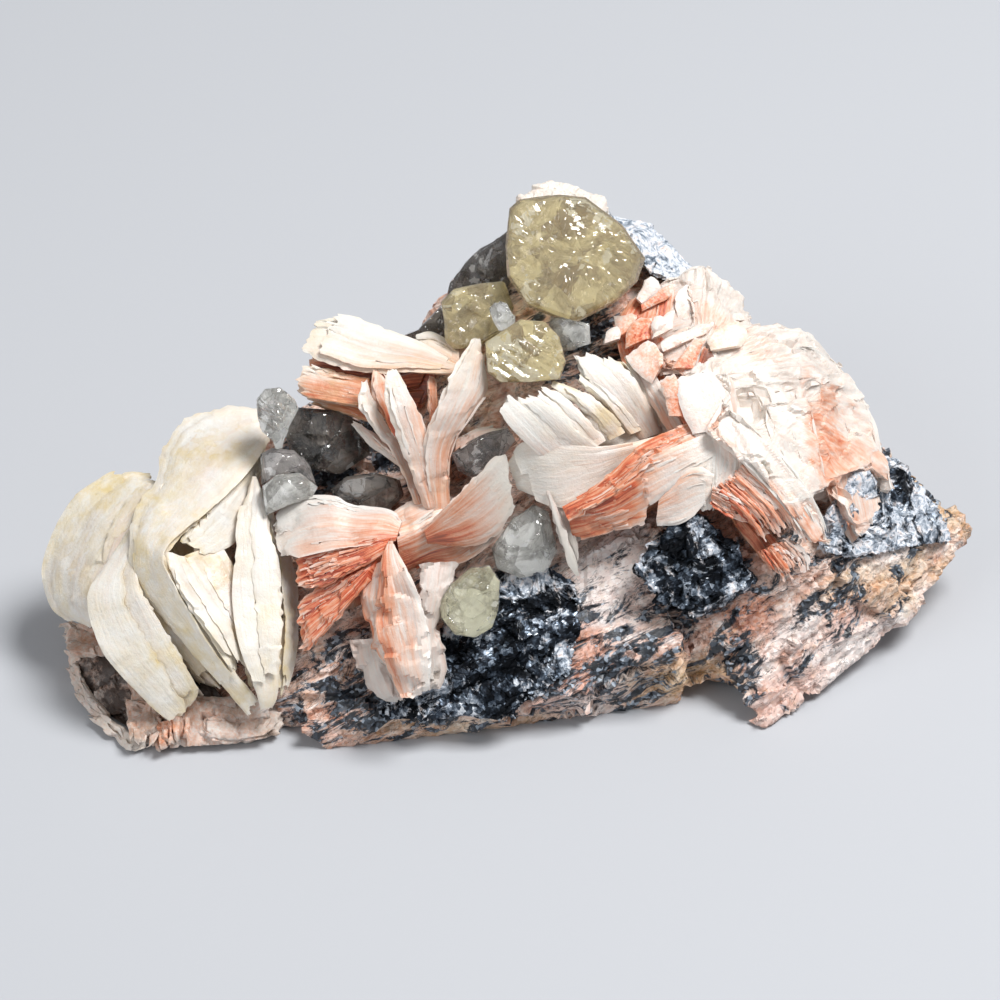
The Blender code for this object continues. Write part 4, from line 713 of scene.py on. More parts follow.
def blade(rails, span, reach, lift, half, look, rng, fibre=False):
    """One blade, as a closed sheet on the plate between two rails. Parameter one, s, runs along
    the rails and parameter two, t, from the left rail to the right one. The blade covers t in
    span and s in reach; noise makes its sides wander and its tip ragged. Its middle surface is
    the plate raised by lift, with a gentle waviness, and its half thickness falls to a sharp
    edge. Ribs along the blade and flaked steps are cut into its upper face."""
    a, b, length, width = rails
    long_side = length * (reach[1] - reach[0])
    short_side = width * (span[1] - span[0])
    rows = 10 if fibre else int(np.clip(long_side / CELL, 10, 90))
    cols = 3 if fibre else int(np.clip(short_side / CELL, 5, 64))
    v = np.linspace(0.0, 1.0, rows)[:, None]
    u = np.sin(np.linspace(-0.5, 0.5, cols) * math.pi)[None, :]
    whole = np.zeros((rows, cols))
    phase = rng.uniform(0.0, 0.05, 3)
    sideways = np.stack([u * short_side / 2 + whole, phase[0] + whole, phase[1] + whole], axis=-1)
    tooth = 0.6 * np.abs(clouds(sideways, 1.1 * MM, 71)) + 0.4 * np.abs(clouds(sideways, 0.45 * MM, 72))
    tip = reach[1] - look["tooth"] * MM / length * (1.6 * tooth + 0.5 * rng.uniform())
    s = np.clip(reach[0] + v * (tip - reach[0]), 0.0, 1.0)
    lengthways = np.stack([v * long_side + whole, phase[1] + whole, phase[2] + np.sign(u) * 0.01 + whole], axis=-1)
    drift = 0.5 * clouds(lengthways, 2.2 * MM, 73) + 0.5 * clouds(lengthways, 0.55 * MM, 74)
    squeeze = 1.0 - look["rounding"] * np.clip((v - 0.7) / 0.3, 0.0, 1.0) ** 2.2
    middle = (span[0] + span[1]) / 2
    t = middle + u * (span[1] - span[0]) / 2 * squeeze + np.abs(u) ** 3 * np.sign(u) * drift * look["wander"] * MM / width
    t = np.clip(t, -0.04, 1.04)
    cell = np.clip(np.floor(s * (RAIL_POINTS - 1)).astype(int), 0, RAIL_POINTS - 2)
    part = (s * (RAIL_POINTS - 1) - cell)[..., None]
    on_left = a[cell] * (1 - part) + a[cell + 1] * part
    on_right = b[cell] * (1 - part) + b[cell + 1] * part
    base = on_left * (1 - t[..., None]) + on_right * t[..., None]
    run = (a[cell + 1] - a[cell]) * (1 - t[..., None]) + (b[cell + 1] - b[cell]) * t[..., None]
    normal = np.cross(on_right - on_left, run)
    normal /= np.linalg.norm(normal, axis=-1, keepdims=True)
    normal *= np.where((normal * TOWARDS).sum(-1).mean() < 0, -1.0, 1.0)
    flow = np.stack([(t - 0.5) * width, s * length * 0.07, phase[0] + whole], axis=-1)
    flow = base if look["crumbly"] else flow
    ribs = 0.6 * clouds(flow, 0.5 * MM, 5) + 0.4 * clouds(flow, 1.2 * MM, 6)
    flakes = np.floor(2.5 * clouds(flow * np.array([1.0, 4.0, 1.0]), 2.4 * MM, 8)) / 2.5
    waves = look["waves"] * (0.28 * clouds(base, 4.5 * MM, 21) + 0.10 * clouds(base, 1.7 * MM, 22))
    waves += look["crumple"] * facets(base, 2.4 * MM, 51) / MM
    grit = 0.6 * clouds(base, 0.9 * MM, 41) + 0.4 * clouds(base, 0.45 * MM, 42)
    sharp = (1.0 - np.abs(u) ** 6) * (1.0 - 0.8 * v ** 8)
    thick = MM * np.maximum(half * sharp, 0.025)
    rough = look["relief"] * (ribs + 0.8 * flakes) + look["chalk"] * grit
    cut = MM * rough * np.minimum(1.0, half * 3.0) * sharp
    raised = MM * (lift * (0.5 + 0.7 * v) + waves)
    top = base + normal * (raised + thick + cut)[..., None]
    bottom = base + normal * (raised - thick)[..., None]
    points, faces = closed_sheet(top, bottom)
    root_left, root_right, tip_left, tip_right = look["stain"]
    blend = np.clip(1.25 * s - 0.1 + 0.22 * clouds(base, 2.2 * MM, 31), 0.0, 1.0)
    stain = (root_left * (1 - t) + root_right * t) * (1 - blend) + (tip_left * (1 - t) + tip_right * t) * blend
    rim = np.clip((np.abs(u) - 0.82) / 0.18, 0.0, 1.0) + np.clip((v - 0.88) / 0.12, 0.0, 1.0)
    rim = np.clip(rim, 0.0, 1.0)
    stain = stain * rng.uniform(0.85, 1.12) * (1.0 - 0.35 * rim) - (0.1 if fibre else 0.0)
    patch = np.clip(1.4 * clouds(base, 5.0 * MM, 33), 0.0, 1.0)
    tan = look["tan"] * np.clip(0.3 + 0.35 * rim + 0.5 * patch + 0.35 * (flakes < -0.3), 0.0, 1.0)
    clear = look["clear"] * np.clip(0.2 + 1.1 * s, 0.0, 1.0)
    # The fourth tint number is the look's painted shade.
    rows_of_tint = np.stack([stain + whole, tan + whole, clear + whole, look["painted_shade"] + whole], axis=-1).reshape(-1, 4)
    rows_of_flow = flow.reshape(-1, 3)
    kinds = np.full(len(faces), int(look["glass"]))
    return points, faces, np.tile(rows_of_tint, (2, 1)), np.tile(rows_of_flow, (2, 1)), kinds


def plate_blades(left, right, thickness, look, rng):
    """The blades of one plate. Shingled blades overlap across the plate, over one that spans it
    all. In a comb they stand side by side. Fibres are narrow blades that lie on top."""
    a, b = rail_curve(left), rail_curve(right)
    length = np.linalg.norm(np.diff((a + b) / 2, axis=0), axis=1).sum()
    width = np.linalg.norm(b - a, axis=1).mean()
    rails = (a, b, length, width)
    count = look["blades"]
    made = []
    if look["comb"]:
        for n in range(count):
            middle = (n + 0.5 + rng.uniform(-0.25, 0.25)) / count
            half_span = rng.uniform(0.55, 0.9) / count
            reach = (rng.uniform(0.0, 0.1), 1.0 - rng.uniform(0.0, 0.25))
            lift = rng.uniform(-0.4, 0.4) * thickness
            half = 0.3 * thickness
            made.append(blade(rails, (middle - half_span, middle + half_span), reach, lift, half, look, rng))
    else:
        made.append(blade(rails, (0.0, 1.0), (0.0, 1.0), -0.15 * thickness, 0.3 * thickness, look, rng))
        for n in range(1, count):
            half_span = rng.uniform(*look["half_spans"])
            middle = (n - 0.5) / (count - 1) + rng.uniform(-0.15, 0.15)
            middle = np.clip(middle, half_span * 0.8, 1.0 - half_span * 0.8)
            reach = (rng.uniform(0.0, 0.2), 1.0 - rng.uniform(0.0, 0.16))
            lift = (0.06 + rng.uniform(0.0, 0.36) * look["lift"]) * thickness
            half = look["leaf"] * thickness
            made.append(blade(rails, (middle - half_span, middle + half_span), reach, lift, half, look, rng))
    for _ in range(look["fibres"]):
        middle = rng.uniform(0.03, 0.97)
        half_span = rng.uniform(0.05, 0.11) * MM / width
        start = rng.uniform(0.0, 0.5)
        reach = (start, min(1.0, start + rng.uniform(0.3, 0.6)))
        lift = (0.14 + rng.uniform(0.0, 0.3) * look["lift"]) * thickness
        made.append(blade(rails, (middle - half_span, middle + half_span), reach, lift, 0.05, look, rng, fibre=True))
    return made


def barite_skin(name, finish):
    """Barite: white and pearly, with iron stain that runs up from the roots in fine streaks along
    the blade, tan in its hollows, and small dark pores. finish gives what differs between the
    pearly blades and the glassy ones."""
    spar, out = new_material(name)
    tint = node(spar, "ShaderNodeAttribute", {"attribute_name": "tint"})
    parts = node(spar, "ShaderNodeSeparateColor", Color=tint.outputs["Color"]).outputs
    flow = node(spar, "ShaderNodeAttribute", {"attribute_name": "grain"}).outputs["Vector"]
    place = node(spar, "ShaderNodeTexCoord").outputs["Object"]
    mottle = node(spar, "ShaderNodeTexNoise", {"Scale": 420.0, "Detail": 5.0, "Roughness": 0.7}, Vector=place)
    sugar = node(spar, "ShaderNodeTexNoise", {"Scale": 2600.0, "Detail": 3.0, "Roughness": 0.7}, Vector=place)
    fine_streak = node(spar, "ShaderNodeTexNoise", {"Scale": 3600.0, "Detail": 3.0, "Roughness": 0.65}, Vector=flow)
    wide_streak = node(spar, "ShaderNodeTexNoise", {"Scale": 1000.0, "Detail": 4.0, "Roughness": 0.65}, Vector=flow)
    swing = maths(spar, "ADD", maths(spar, "MULTIPLY_ADD", fine_streak.outputs["Fac"], 2.6, -1.3),
                  maths(spar, "MULTIPLY_ADD", wide_streak.outputs["Fac"], 2.0, -1.0))
    swing = maths(spar, "ADD", swing, maths(spar, "MULTIPLY_ADD", mottle.outputs["Fac"], 1.2, -0.6))
    swing = maths(spar, "MULTIPLY", swing, maths(spar, "MULTIPLY_ADD", parts["Red"], 0.75, 0.07))
    colour = ramp(spar, maths(spar, "ADD", parts["Red"], swing), [
        (0.0, "#E8E4DD"), (0.14, "#E8D8CE"), (0.34, "#E6BAA4"), (0.58, "#DE8C66"), (0.80, "#CC5B36"),
        (1.0, "#953419")])
    tan_share = maths(spar, "MULTIPLY", parts["Green"], maths(spar, "MULTIPLY_ADD", mottle.outputs["Fac"], 2.6, -0.75))
    colour = mix(spar, node(spar, "ShaderNodeClamp", Value=tan_share).outputs["Result"], colour, "#DCC592")
    colour = mix(spar, maths(spar, "MULTIPLY", parts["Blue"], 0.65), colour, "#D9D1C2")
    # Painted shade: the tint's fourth channel darkens the colour towards #46372F, in hollows, under the shells and on
    # roots between plates.
    painted_shade_share = maths(spar, "MULTIPLY", tint.outputs["Alpha"],
                       maths(spar, "MULTIPLY_ADD", mottle.outputs["Fac"], 3.0, -0.8))
    colour = mix(spar, node(spar, "ShaderNodeClamp", Value=painted_shade_share).outputs["Result"], colour, "#46372F")
    pores = ramp(spar, sugar.outputs["Fac"], [(0.27, "#FFFFFF"), (0.34, "#000000")])
    colour = mix(spar, maths(spar, "MULTIPLY", pores, 0.3), colour, "#A08A78")
    height = maths(spar, "ADD", fine_streak.outputs["Fac"], maths(spar, "MULTIPLY", mottle.outputs["Fac"], 0.6))
    height = maths(spar, "ADD", height, sugar.outputs["Fac"])
    bump = node(spar, "ShaderNodeBump", {"Strength": 0.45, "Distance": 0.00016}, Height=height)
    rough = node(spar, "ShaderNodeMapRange", {"From Min": 0.35, "From Max": 0.65, "To Min": 0.62, "To Max": 0.34},
                 Value=wide_streak.outputs["Fac"])
    skin = node(spar, "ShaderNodeBsdfPrincipled", {"IOR": 1.64} | finish, Base_Color=colour,
                Roughness=rough.outputs["Result"], Normal=bump.outputs["Normal"])
    spar.node_tree.links.new(skin.outputs["BSDF"], out.inputs["Surface"])
    return spar


spar = barite_skin("pearly_barite", {
    "Subsurface Weight": 0.2, "Subsurface Radius": (1.0, 0.8, 0.65), "Subsurface Scale": 0.001})
glassy_spar = barite_skin("glassy_barite", {"Transmission Weight": 0.3})

# Each plate is (left rail, right rail, thickness, look), from its root or lower end.
BARITE = {
    "barite_rosette_under": ("barite_pink", [
        ([(-40.5, -12.5, 3), (-43, -12.2, 2), (-44.2, -13.5, 1)],
         [(-39.5, -15.4, 5), (-42, -15.6, 4), (-43.4, -15.2, 3)], 2.4, UNDER),
        ([(-43.2, -15.2, 0.5), (-43.1, -17.2, 2), (-42.2, -19.8, 5), (-40, -22.2, 7.8), (-37.5, -24.2, 9.8),
          (-35.7, -25.5, 11.2)],
         [(-42.0, -15.5, 2), (-41.8, -17.4, 3.4), (-41.0, -19.5, 6), (-39, -21.6, 8.6), (-36.9, -23.3, 10.8),
          (-35, -24.4, 12)], 1.4, UNDER_RIM),
        ([(-37, -19.5, 8), (-37, -22.5, 9.8), (-35.8, -25.7, 11.4)],
         [(-33.5, -19.5, 9.5), (-34, -23, 11), (-34.5, -25.2, 11.8)], 2.6, UNDER),
        ([(-34.8, -22.5, 10), (-34.2, -25.7, 11.2)],
         [(-31, -21.8, 10), (-31, -25.6, 11.4)], 3.2, UNDER_NEEDLES),
        ([(-38, -16.5, 6), (-31, -20, 9), (-20.6, -20, 9)],
         [(-36, -21, 9), (-29, -24, 10.6), (-21.5, -23.3, 10.4)], 3.4, UNDER),
        ([(-41.4, -14, 2), (-36, -17, 5)], [(-40, -19.6, 5), (-36, -22.4, 8.4)], 2.0, UNDER_HOLLOW),
        ([(-42.6, -14, 0.5), (-41.6, -18, 3), (-38.5, -22.6, 8)],
         [(-31, -14, 6.5), (-29, -18.5, 8.5), (-25, -22.6, 9.8)], 2.2, UNDER_HOLLOW),
        ([(-33.5, -19.4, 10), (-27, -20.6, 10.4), (-21, -20.4, 10)],
         [(-33, -24.6, 11), (-27, -24.2, 11), (-21.4, -23.4, 10.6)], 2.0, UNDER),
    ]),
    "barite_shell_far_left": ("barite_white", [
        ([(-41, -12.5, 7), (-44.2, -11.2, 6), (-45.4, -8, 5), (-44.8, -4.5, 4.2), (-42.5, -0.2, 3.5),
          (-39.2, 2.2, 2.8), (-37, 3.2, 2.2), (-34.5, 3, 2)],
         [(-40, -12.2, 9), (-40.5, -9.5, 9.5), (-39.2, -6.5, 9.5), (-36.5, -3, 8.5), (-35, 0, 7),
          (-34, 2, 5)], 2.0, SHELL),
        ([(-40, -10, 9.5), (-39.5, -6, 9.3), (-38.8, -3, 8), (-36.5, 0.5, 6.5), (-34.6, 2.2, 5)],
         [(-38.5, -8, 10), (-37.5, -5, 10), (-36, -2.5, 9.6), (-34, 0.5, 8.5),
          (-32.5, 1.5, 7)], 1.4, SHELL_SHADE),
        ([(-40, -9, 6.5), (-33, -1, 3.5)], [(-38, -12.5, 7.5), (-31, -6, 5)], 4.0, SHELL_ROOT),
    ]),
    "barite_shell_large": ("barite_white", [
        ([(-24.2, 9.2, 3), (-27.5, 9.4, 3), (-31, 8.2, 4), (-33.5, 5.5, 5), (-34.3, 2, 7), (-36, -0.5, 9),
          (-37, -4, 11), (-36.7, -7.8, 12), (-33.5, -12, 13), (-29.5, -16.8, 13.5), (-25, -22.2, 13)],
         [(-23, 6, 6), (-24.5, 3.8, 8), (-26.5, 1.5, 10), (-29, -1, 12), (-31.5, -3, 13.5),
          (-33.2, -4.8, 14.5), (-33.4, -6.2, 15), (-32, -9.2, 15), (-29.5, -13.2, 15), (-26.5, -17.4, 14.5),
          (-24, -20.2, 13.5)], 1.8, SHELL),
        ([(-23.8, 5.4, 6.2), (-26.6, 1.6, 9.6), (-29.5, -1.4, 11.9), (-32.2, -4.4, 13.6)],
         [(-23.6, 3.4, 6.2), (-24.9, 0.2, 8.2), (-26.6, -4.0, 10.6), (-30.2, -6.0, 13.0)], 1.4, SHELL),
        ([(-33.5, -5.2, 14.5), (-32, -9, 15.6), (-29.4, -13, 15.6), (-26.4, -17.4, 15)],
         [(-31.2, -6, 13), (-29.5, -9, 13.5), (-27.2, -13.2, 14), (-25.7, -18.2, 14)], 1.4, SHELL_SPLIT),
        ([(-30.8, -6, 12.5), (-29, -9.2, 13.2), (-27, -13.6, 13.6)],
         [(-29.4, -5, 11), (-27.4, -8, 11.5), (-26.4, -14, 12)], 1.2, SHELL_SHADE),
        ([(-35, -0.7, 8), (-36.7, -2.7, 9), (-38.7, -6, 10), (-40.5, -9, 11), (-40.7, -11.2, 11.5),
          (-39.3, -15.2, 12.5), (-36, -19, 12.5), (-33.5, -21.4, 12), (-31.9, -22.2, 11.5)],
         [(-34.2, -0.7, 9.5), (-35.3, -3.5, 11), (-36.2, -6, 12), (-36.2, -8.3, 13), (-35.1, -10.6, 13.8),
          (-33, -14.3, 13.8), (-30.8, -18, 13.3), (-30, -19.4, 12.5), (-31.0, -20.8, 12)], 1.8, SHELL),
        ([(-36.2, -8.8, 12.5), (-33.5, -13, 12.5), (-30.5, -16.8, 12), (-27.8, -19.5, 11)],
         [(-35.5, -10, 10), (-33.5, -14, 9), (-31, -17.5, 8), (-29, -19, 7.5)], 2.4, SHELL_SHADE),
        ([(-31.6, -5.6, 13.4), (-29, -9.8, 13.8), (-26.2, -15, 13.8), (-24.6, -19.6, 13)],
         [(-28.2, -4.4, 11.4), (-26, -8.6, 12), (-24.2, -13.4, 12.4), (-23.4, -17.6, 12.2)], 1.3, SHELL_SHADE),
        ([(-36.4, -9, 12.4), (-33.2, -13.6, 12.6), (-29.8, -18, 12)],
         [(-33.2, -8, 12), (-30.4, -12, 12.4), (-27.2, -16.8, 12)], 1.4, SHELL_SHADE),
        ([(-34, -4, 9), (-30, -12, 9)], [(-28, 0, 4), (-26, -10, 5)], 6.0, SHELL_ROOT),
    ]),
    "barite_shell_upright": ("barite_white", [
        ([(-24.8, 2.3, 9.5), (-25.6, -0.2, 10), (-26.2, -2, 11), (-26.4, -6, 12.5), (-26.6, -10, 13.5),
          (-26, -14.5, 14.5), (-24.6, -18.5, 14.5), (-23.7, -21.6, 13.5)],
         [(-24.3, 2.3, 9.5), (-23.4, -0.2, 10), (-23, -2.5, 11), (-22.2, -6.5, 12.5), (-21.8, -12, 13.5),
          (-22, -16.5, 14), (-22.3, -20, 13.5), (-23, -21.7, 13)], 1.6, SHELL_SPLIT),
        ([(-23.4, -1.2, 9.5), (-22.2, -6, 11), (-21.7, -12, 12.2), (-22.1, -19, 12.5)],
         [(-22.8, -1.4, 8.5), (-20.8, -6, 9.5), (-20.2, -11, 10.5), (-20.6, -16, 11),
          (-21.7, -20, 12)], 1.4, SHELL),
        ([(-26, -4, 9.5), (-25, -18, 12)], [(-21.5, -4, 8.8), (-22, -18, 11.2)], 4.4, SHELL_ROOT),
    ]),
    "barite_bundle_upper_left": ("barite_white", [
        ([(-4.2, 13.2, 9), (-7.5, 15.2, 7), (-11.5, 16.7, 6), (-16, 18.4, 5), (-18.6, 18.7, 5)],
         [(-4.5, 12.7, 10), (-9, 12.9, 10), (-13.5, 12.9, 9.5), (-17, 13.7, 9), (-20.4, 14.4, 8)], 1.5, BUNDLE),
        ([(-12.5, 12, 8.5), (-16.5, 12.8, 8), (-20, 14, 7.5)],
         [(-13, 9.4, 9.5), (-17, 9.9, 9), (-21.2, 10.6, 8)], 1.8, BUNDLE_ORANGE),
        ([(-12.5, 10.5, 7), (-17, 10.6, 6.4), (-20.6, 10.9, 6)],
         [(-12.5, 7.5, 7.5), (-15.5, 8.6, 7), (-19.5, 9.4, 6.4)], 1.6, BUNDLE_ORANGE),
        ([(-4.2, 14.8, 6), (-6.8, 16.5, 5), (-9.6, 15.9, 5)],
         [(-4, 12.8, 8), (-6, 13.8, 7), (-9, 14.8, 6)], 1.4, BUNDLE),
        ([(-6, 13.5, 6), (-12, 13, 5)], [(-8, 9, 5), (-13, 8.5, 4)], 4.5, ROOT),
        ([(-11, 13.8, 7.2), (-19.4, 14.6, 6.2)], [(-11, 11.4, 7.2), (-19.6, 11.8, 6.2)], 1.6, ROOT),
    ]),
    "barite_fan_middle": ("barite_pink", [
        ([(-7.5, 1.7, 10.5), (-10.5, 3.7, 10), (-12.8, 5.3, 9.5), (-15.3, 7.8, 9)],
         [(-8, 2.6, 10), (-9.8, 4.3, 9), (-12, 6.2, 8.5), (-15, 8.3, 8.3)], 0.9, PALE_BLADE),
        ([(-8.5, -0.4, 10.8), (-10.7, 4.5, 11.5), (-12.8, 7.5, 12), (-14.1, 9.8, 12), (-13.9, 12, 11.5)],
         [(-7.4, -0.6, 10.5), (-9.2, 4.5, 10.5), (-10.8, 7, 11), (-12.4, 10, 11),
          (-13, 12.4, 10.8)], 1.1, PALE_BLADE),
        ([(-9.8, 5, 10), (-11.7, 8.5, 10.5), (-12.8, 11.2, 10.5), (-12.7, 13.2, 10)],
         [(-8.8, 5, 9.5), (-10.3, 8.5, 9.5), (-11, 11.2, 9.5), (-11.7, 13.4, 9.5)], 1.0, ORANGE_BLADE),
        ([(-7.6, -0.8, 11.4), (-9.6, 4.5, 13), (-10.9, 8, 14), (-11.6, 11.2, 14), (-11.4, 13.3, 13.5)],
         [(-6.2, -0.8, 11.2), (-7, 5, 12.5), (-8, 8.5, 13), (-9.2, 11.5, 13.2),
          (-10, 13.5, 13)], 1.3, PALE_BLADE),
        ([(-6.8, 6, 10), (-7.2, 10, 9.5), (-7.3, 12.6, 9)],
         [(-6, 6, 9.5), (-6.2, 10, 9), (-6.4, 12.7, 8.5)], 0.9, ORANGE_BLADE),
        ([(-7.0, -1.0, 11.4), (-7.6, 5, 13), (-6.2, 9.5, 14), (-4.2, 13.8, 13.5), (-2.8, 16.4, 12.5)],
         [(-5.0, -0.8, 10.5), (-4.8, 4.8, 11.5), (-2.5, 8.8, 11.5), (-1.1, 11.5, 11),
          (-1.9, 16.4, 12)], 1.5, PALE_BLADE),
        ([(-4.4, 6, 9.5), (-2, 7.2, 8), (0.8, 7.3, 7)],
         [(-4.5, 4.8, 9.5), (-2, 6.2, 8.5), (0.4, 6.6, 7.4)], 0.8, PALE_BLADE),
        ([(-8, -1, 8.4), (-8.4, 7, 7.8)], [(-5.4, -1, 8.2), (-4.6, 7, 7.4)], 2.8, ROOT),
    ]),
    "barite_bow_tie": ("barite_orange", [
        ([(-9.8, -2, 13), (-11.2, -1.1, 12.5), (-14.8, -0.6, 12), (-17, 0.3, 12), (-20.2, -0.1, 11),
          (-23.2, -1.9, 10)],
         [(-10.4, -4, 14), (-13, -4.5, 14.5), (-16.5, -4.9, 14.5), (-20, -5.6, 14),
          (-22.3, -6.2, 13)], 1.2, BAND_WHITE),
        ([(-10.8, -3.6, 14), (-15.5, -4.6, 14), (-21.6, -6, 13)],
         [(-11.6, -5.3, 15), (-16, -7.7, 15.2), (-20.7, -9.6, 14)], 1.4, FIBROUS),
        ([(-11.8, -5.2, 14), (-16, -7.8, 14), (-20.4, -9.8, 13)],
         [(-13.2, -8, 15), (-16.5, -12, 15), (-20.7, -16.8, 13.5)], 1.6, FIBROUS),
        ([(-10.8, -1.1, 10.5), (-9, 0, 10), (-7.2, 0.3, 10), (-5.4, -0.2, 10)],
         [(-10, -3.5, 13), (-8, -2.8, 12.5), (-5.4, -1.2, 12)], 1.2, PALE_BLADE),
        ([(-10.3, -3.8, 14), (-7.8, -2.7, 14.5), (-5.3, -0.6, 14.5), (-2.2, 2.6, 14), (0.5, 4.7, 13)],
         [(-9.8, -7.4, 12), (-6.8, -6.2, 12), (-3.8, -6, 11.5), (-0.5, -3.6, 11), (1.3, -1.2, 11)], 1.2, WING),
        ([(-7.6, -3, 14.7), (-4.4, 0.2, 15.2), (-1.5, 3.3, 14.7), (0.9, 5.4, 13.4)],
         [(-7.2, -4.4, 14.2), (-3.6, -4.6, 13.1), (-0.4, -3.5, 12.1), (1.7, -0.8, 11.7)], 0.7, LEAF),
        ([(-8.5, -2, 10), (-12, -10, 10)], [(-13, -2, 9), (-18, -12, 9)], 4.0, ROOT),
    ]),
    "barite_folded_blades": ("barite_pink", [
        ([(-11.3, -4.4, 14.5), (-12, -8, 15.5), (-12.3, -12, 16), (-11.4, -15.5, 16), (-9.8, -20, 15)],
         [(-10.7, -4.5, 14.5), (-8.8, -8, 16.5), (-7.6, -12, 17), (-7, -16, 16.5),
          (-6.6, -19.4, 15.2)], 1.8, FOLDED),
        ([(-8, -6.5, 13), (-7.9, -10, 14.5), (-8.2, -14, 15.5), (-7.5, -19.2, 15)],
         [(-4.1, -6, 11.5), (-5.1, -9, 12.5), (-6, -13, 13.5), (-5.1, -16.7, 13.5),
          (-6, -19.2, 14)], 1.4, GLASSY),
        ([(-14.9, -14, 13), (-14, -17.2, 13.5), (-12.5, -19.7, 13.5), (-10.4, -20.5, 13.5)],
         [(-11.9, -13.8, 14.5), (-10.6, -16.2, 15.2), (-9.8, -18.5, 15.5), (-9.3, -20.3, 14.8)], 1.2, GLASSY),
        ([(-13.5, -7.2, 13.5), (-13.9, -10, 14), (-13, -13.2, 14.5), (-10.8, -16.5, 15)],
         [(-11.5, -6, 14.5), (-12, -10, 15.5), (-11.6, -14, 16), (-10, -17, 16)], 1.2, FOLDED),
        ([(-9, -8, 12), (-9.5, -18, 13)], [(-12.5, -9, 12), (-11.5, -18, 13)], 2.4, ROOT),
    ]),
    "barite_comb_white": ("barite_white", [
        ([(16, 6.4, 11), (10, 5.2, 13.5), (4.5, 5.8, 14), (2, 5.4, 13), (0.6, 3.5, 12.5)],
         [(15.5, 5.2, 11), (12.2, 3.3, 12), (9, 1, 13), (6, -0.6, 13), (1.4, 0.8, 11.5)], 1.8, COMB_BODY),
        ([(6, 3, 13), (2.5, 6, 14.5), (0.5, 8.2, 15), (-0.9, 10.2, 15)],
         [(10.5, 4.8, 13), (8, 6.8, 14.5), (5.5, 9.2, 15), (2, 11.7, 14.5)], 1.1, COMB),
        ([(9, 5, 12.5), (5.5, 8.7, 13.8), (3.2, 10.7, 13.8)],
         [(10.7, 6, 12), (8.8, 8, 13), (6.3, 10.5, 13.2), (3.3, 12.2, 13)], 1.0, COMB),
        ([(11, 6, 11.5), (8.5, 8.8, 12.6), (6.2, 10.8, 12.6), (4.5, 12.1, 12.3)],
         [(12.6, 6.8, 11), (10.8, 9, 12), (8.8, 10.6, 12), (6.2, 12.1, 11.6)], 1.0, COMB_TAN),
        ([(12.8, 6.5, 10.5), (10.5, 9.5, 11.5), (8.2, 11.5, 11.5), (6.8, 13, 11.2)],
         [(14.2, 7, 10), (12.2, 9.5, 11), (9.8, 11.8, 11), (7, 13.8, 10.6)], 1.0, COMB_TAN),
        ([(14, 6, 9.5), (11.2, 9.5, 11), (8.5, 12.2, 11.2), (6.7, 15, 10.5)],
         [(16.2, 6.8, 9), (14.5, 10.5, 10.5), (12.7, 13.2, 10.8), (9.7, 15.5, 10)], 1.3, COMB),
        ([(15.2, 6.2, 8.5), (14.2, 10, 9.8), (12.8, 12.8, 10), (11.2, 14.8, 9.5)],
         [(17.5, 6.8, 8), (16.4, 9.8, 9), (14.5, 12.8, 9.5), (12.2, 15, 9)], 1.2, COMB_TAN),
        ([(3.4, 4, 10), (11, 12, 8)], [(7.6, 1, 9.6), (16.5, 8, 8)], 7.0, COMB_BODY),
    ]),
    "barite_wedge_orange": ("barite_orange", [
        ([(6.3, -0.7, 13.5), (10, 1.8, 14), (14.2, 5.2, 13.5), (18.2, 7.3, 12.5), (20, 8.1, 12)],
         [(6.8, -2, 15), (10.5, 0, 15.5), (15, 3.2, 15), (19.2, 5.4, 13.5), (22.6, 7.2, 12)], 1.4, WEDGE),
        ([(6.7, -0.8, 14), (10.5, 0.3, 15), (15, 3.2, 15.5)],
         [(7.3, -4.1, 12.5), (11.5, -2.8, 13), (15.5, -2, 13)], 1.8, WEDGE),
        ([(12, 3, 14.5), (16.5, 4.8, 14.5), (22, 7, 13)],
         [(15, -0.5, 14), (19, 2, 14.5), (22, 3.8, 14)], 1.6, WEDGE_PALE),
        ([(16, 1, 14), (19, 3.2, 15), (21.6, 3, 15)],
         [(15.7, -2.4, 13), (18.2, -2.1, 14), (21.2, 0, 14.5)], 1.4, WEDGE_PALE),
        ([(9, -1, 11), (20, 6, 10.5)], [(10, -3, 10.5), (21, 1, 10.5)], 6.0, ROOT),
    ]),
    "barite_petals_orange": ("barite_orange", [
        ([(17.2, 7.2, 9), (16.2, 10, 9), (15.5, 13.2, 8.5)],
         [(22, 7, 10), (20, 10, 10), (19, 13.2, 9.5)], 1.6, WEDGE),
        ([(16.8, 6.8, 9.5), (14.5, 10.5, 10), (12.2, 14.5, 9.5)],
         [(18.4, 7.6, 9.5), (16.4, 11, 10), (14.5, 14.8, 9.8)], 1.2, WEDGE_PALE),
        ([(13, 12, 8), (12, 17, 6.2), (14, 21, 4)], [(21, 12, 8), (21, 17, 6.2), (20, 22, 3.4)], 2.4, WEDGE),
        ([(16, 9, 6), (15, 18, 4)], [(20, 9, 6), (19, 19, 4)], 4.5, ROOT),
        ([(17.9, 18, 7), (17.6, 20.2, 5.8), (18.8, 22.2, 4.4)],
         [(22.2, 18.2, 7), (24.4, 18.2, 5.4), (22.8, 20.8, 3)], 0.9, PETAL_WHITE),
        ([(13.6, 20.2, 6.2), (15, 23.1, 5.2)], [(14.2, 19.6, 6.4), (16.5, 21.4, 5.6)], 0.9, PETAL_WHITE),
        ([(14, 19.9, 6), (16.4, 21.4, 5.4), (17.8, 21.9, 5.2)],
         [(14.2, 18.9, 6.4), (15.9, 19.8, 6), (17.5, 20.5, 5.8)], 0.9, PETAL_RED),
        ([(11.8, 16.2, 8), (11.2, 18.9, 6.8)], [(12.8, 16.9, 8), (14, 18.9, 6.8)], 0.9, PETAL),
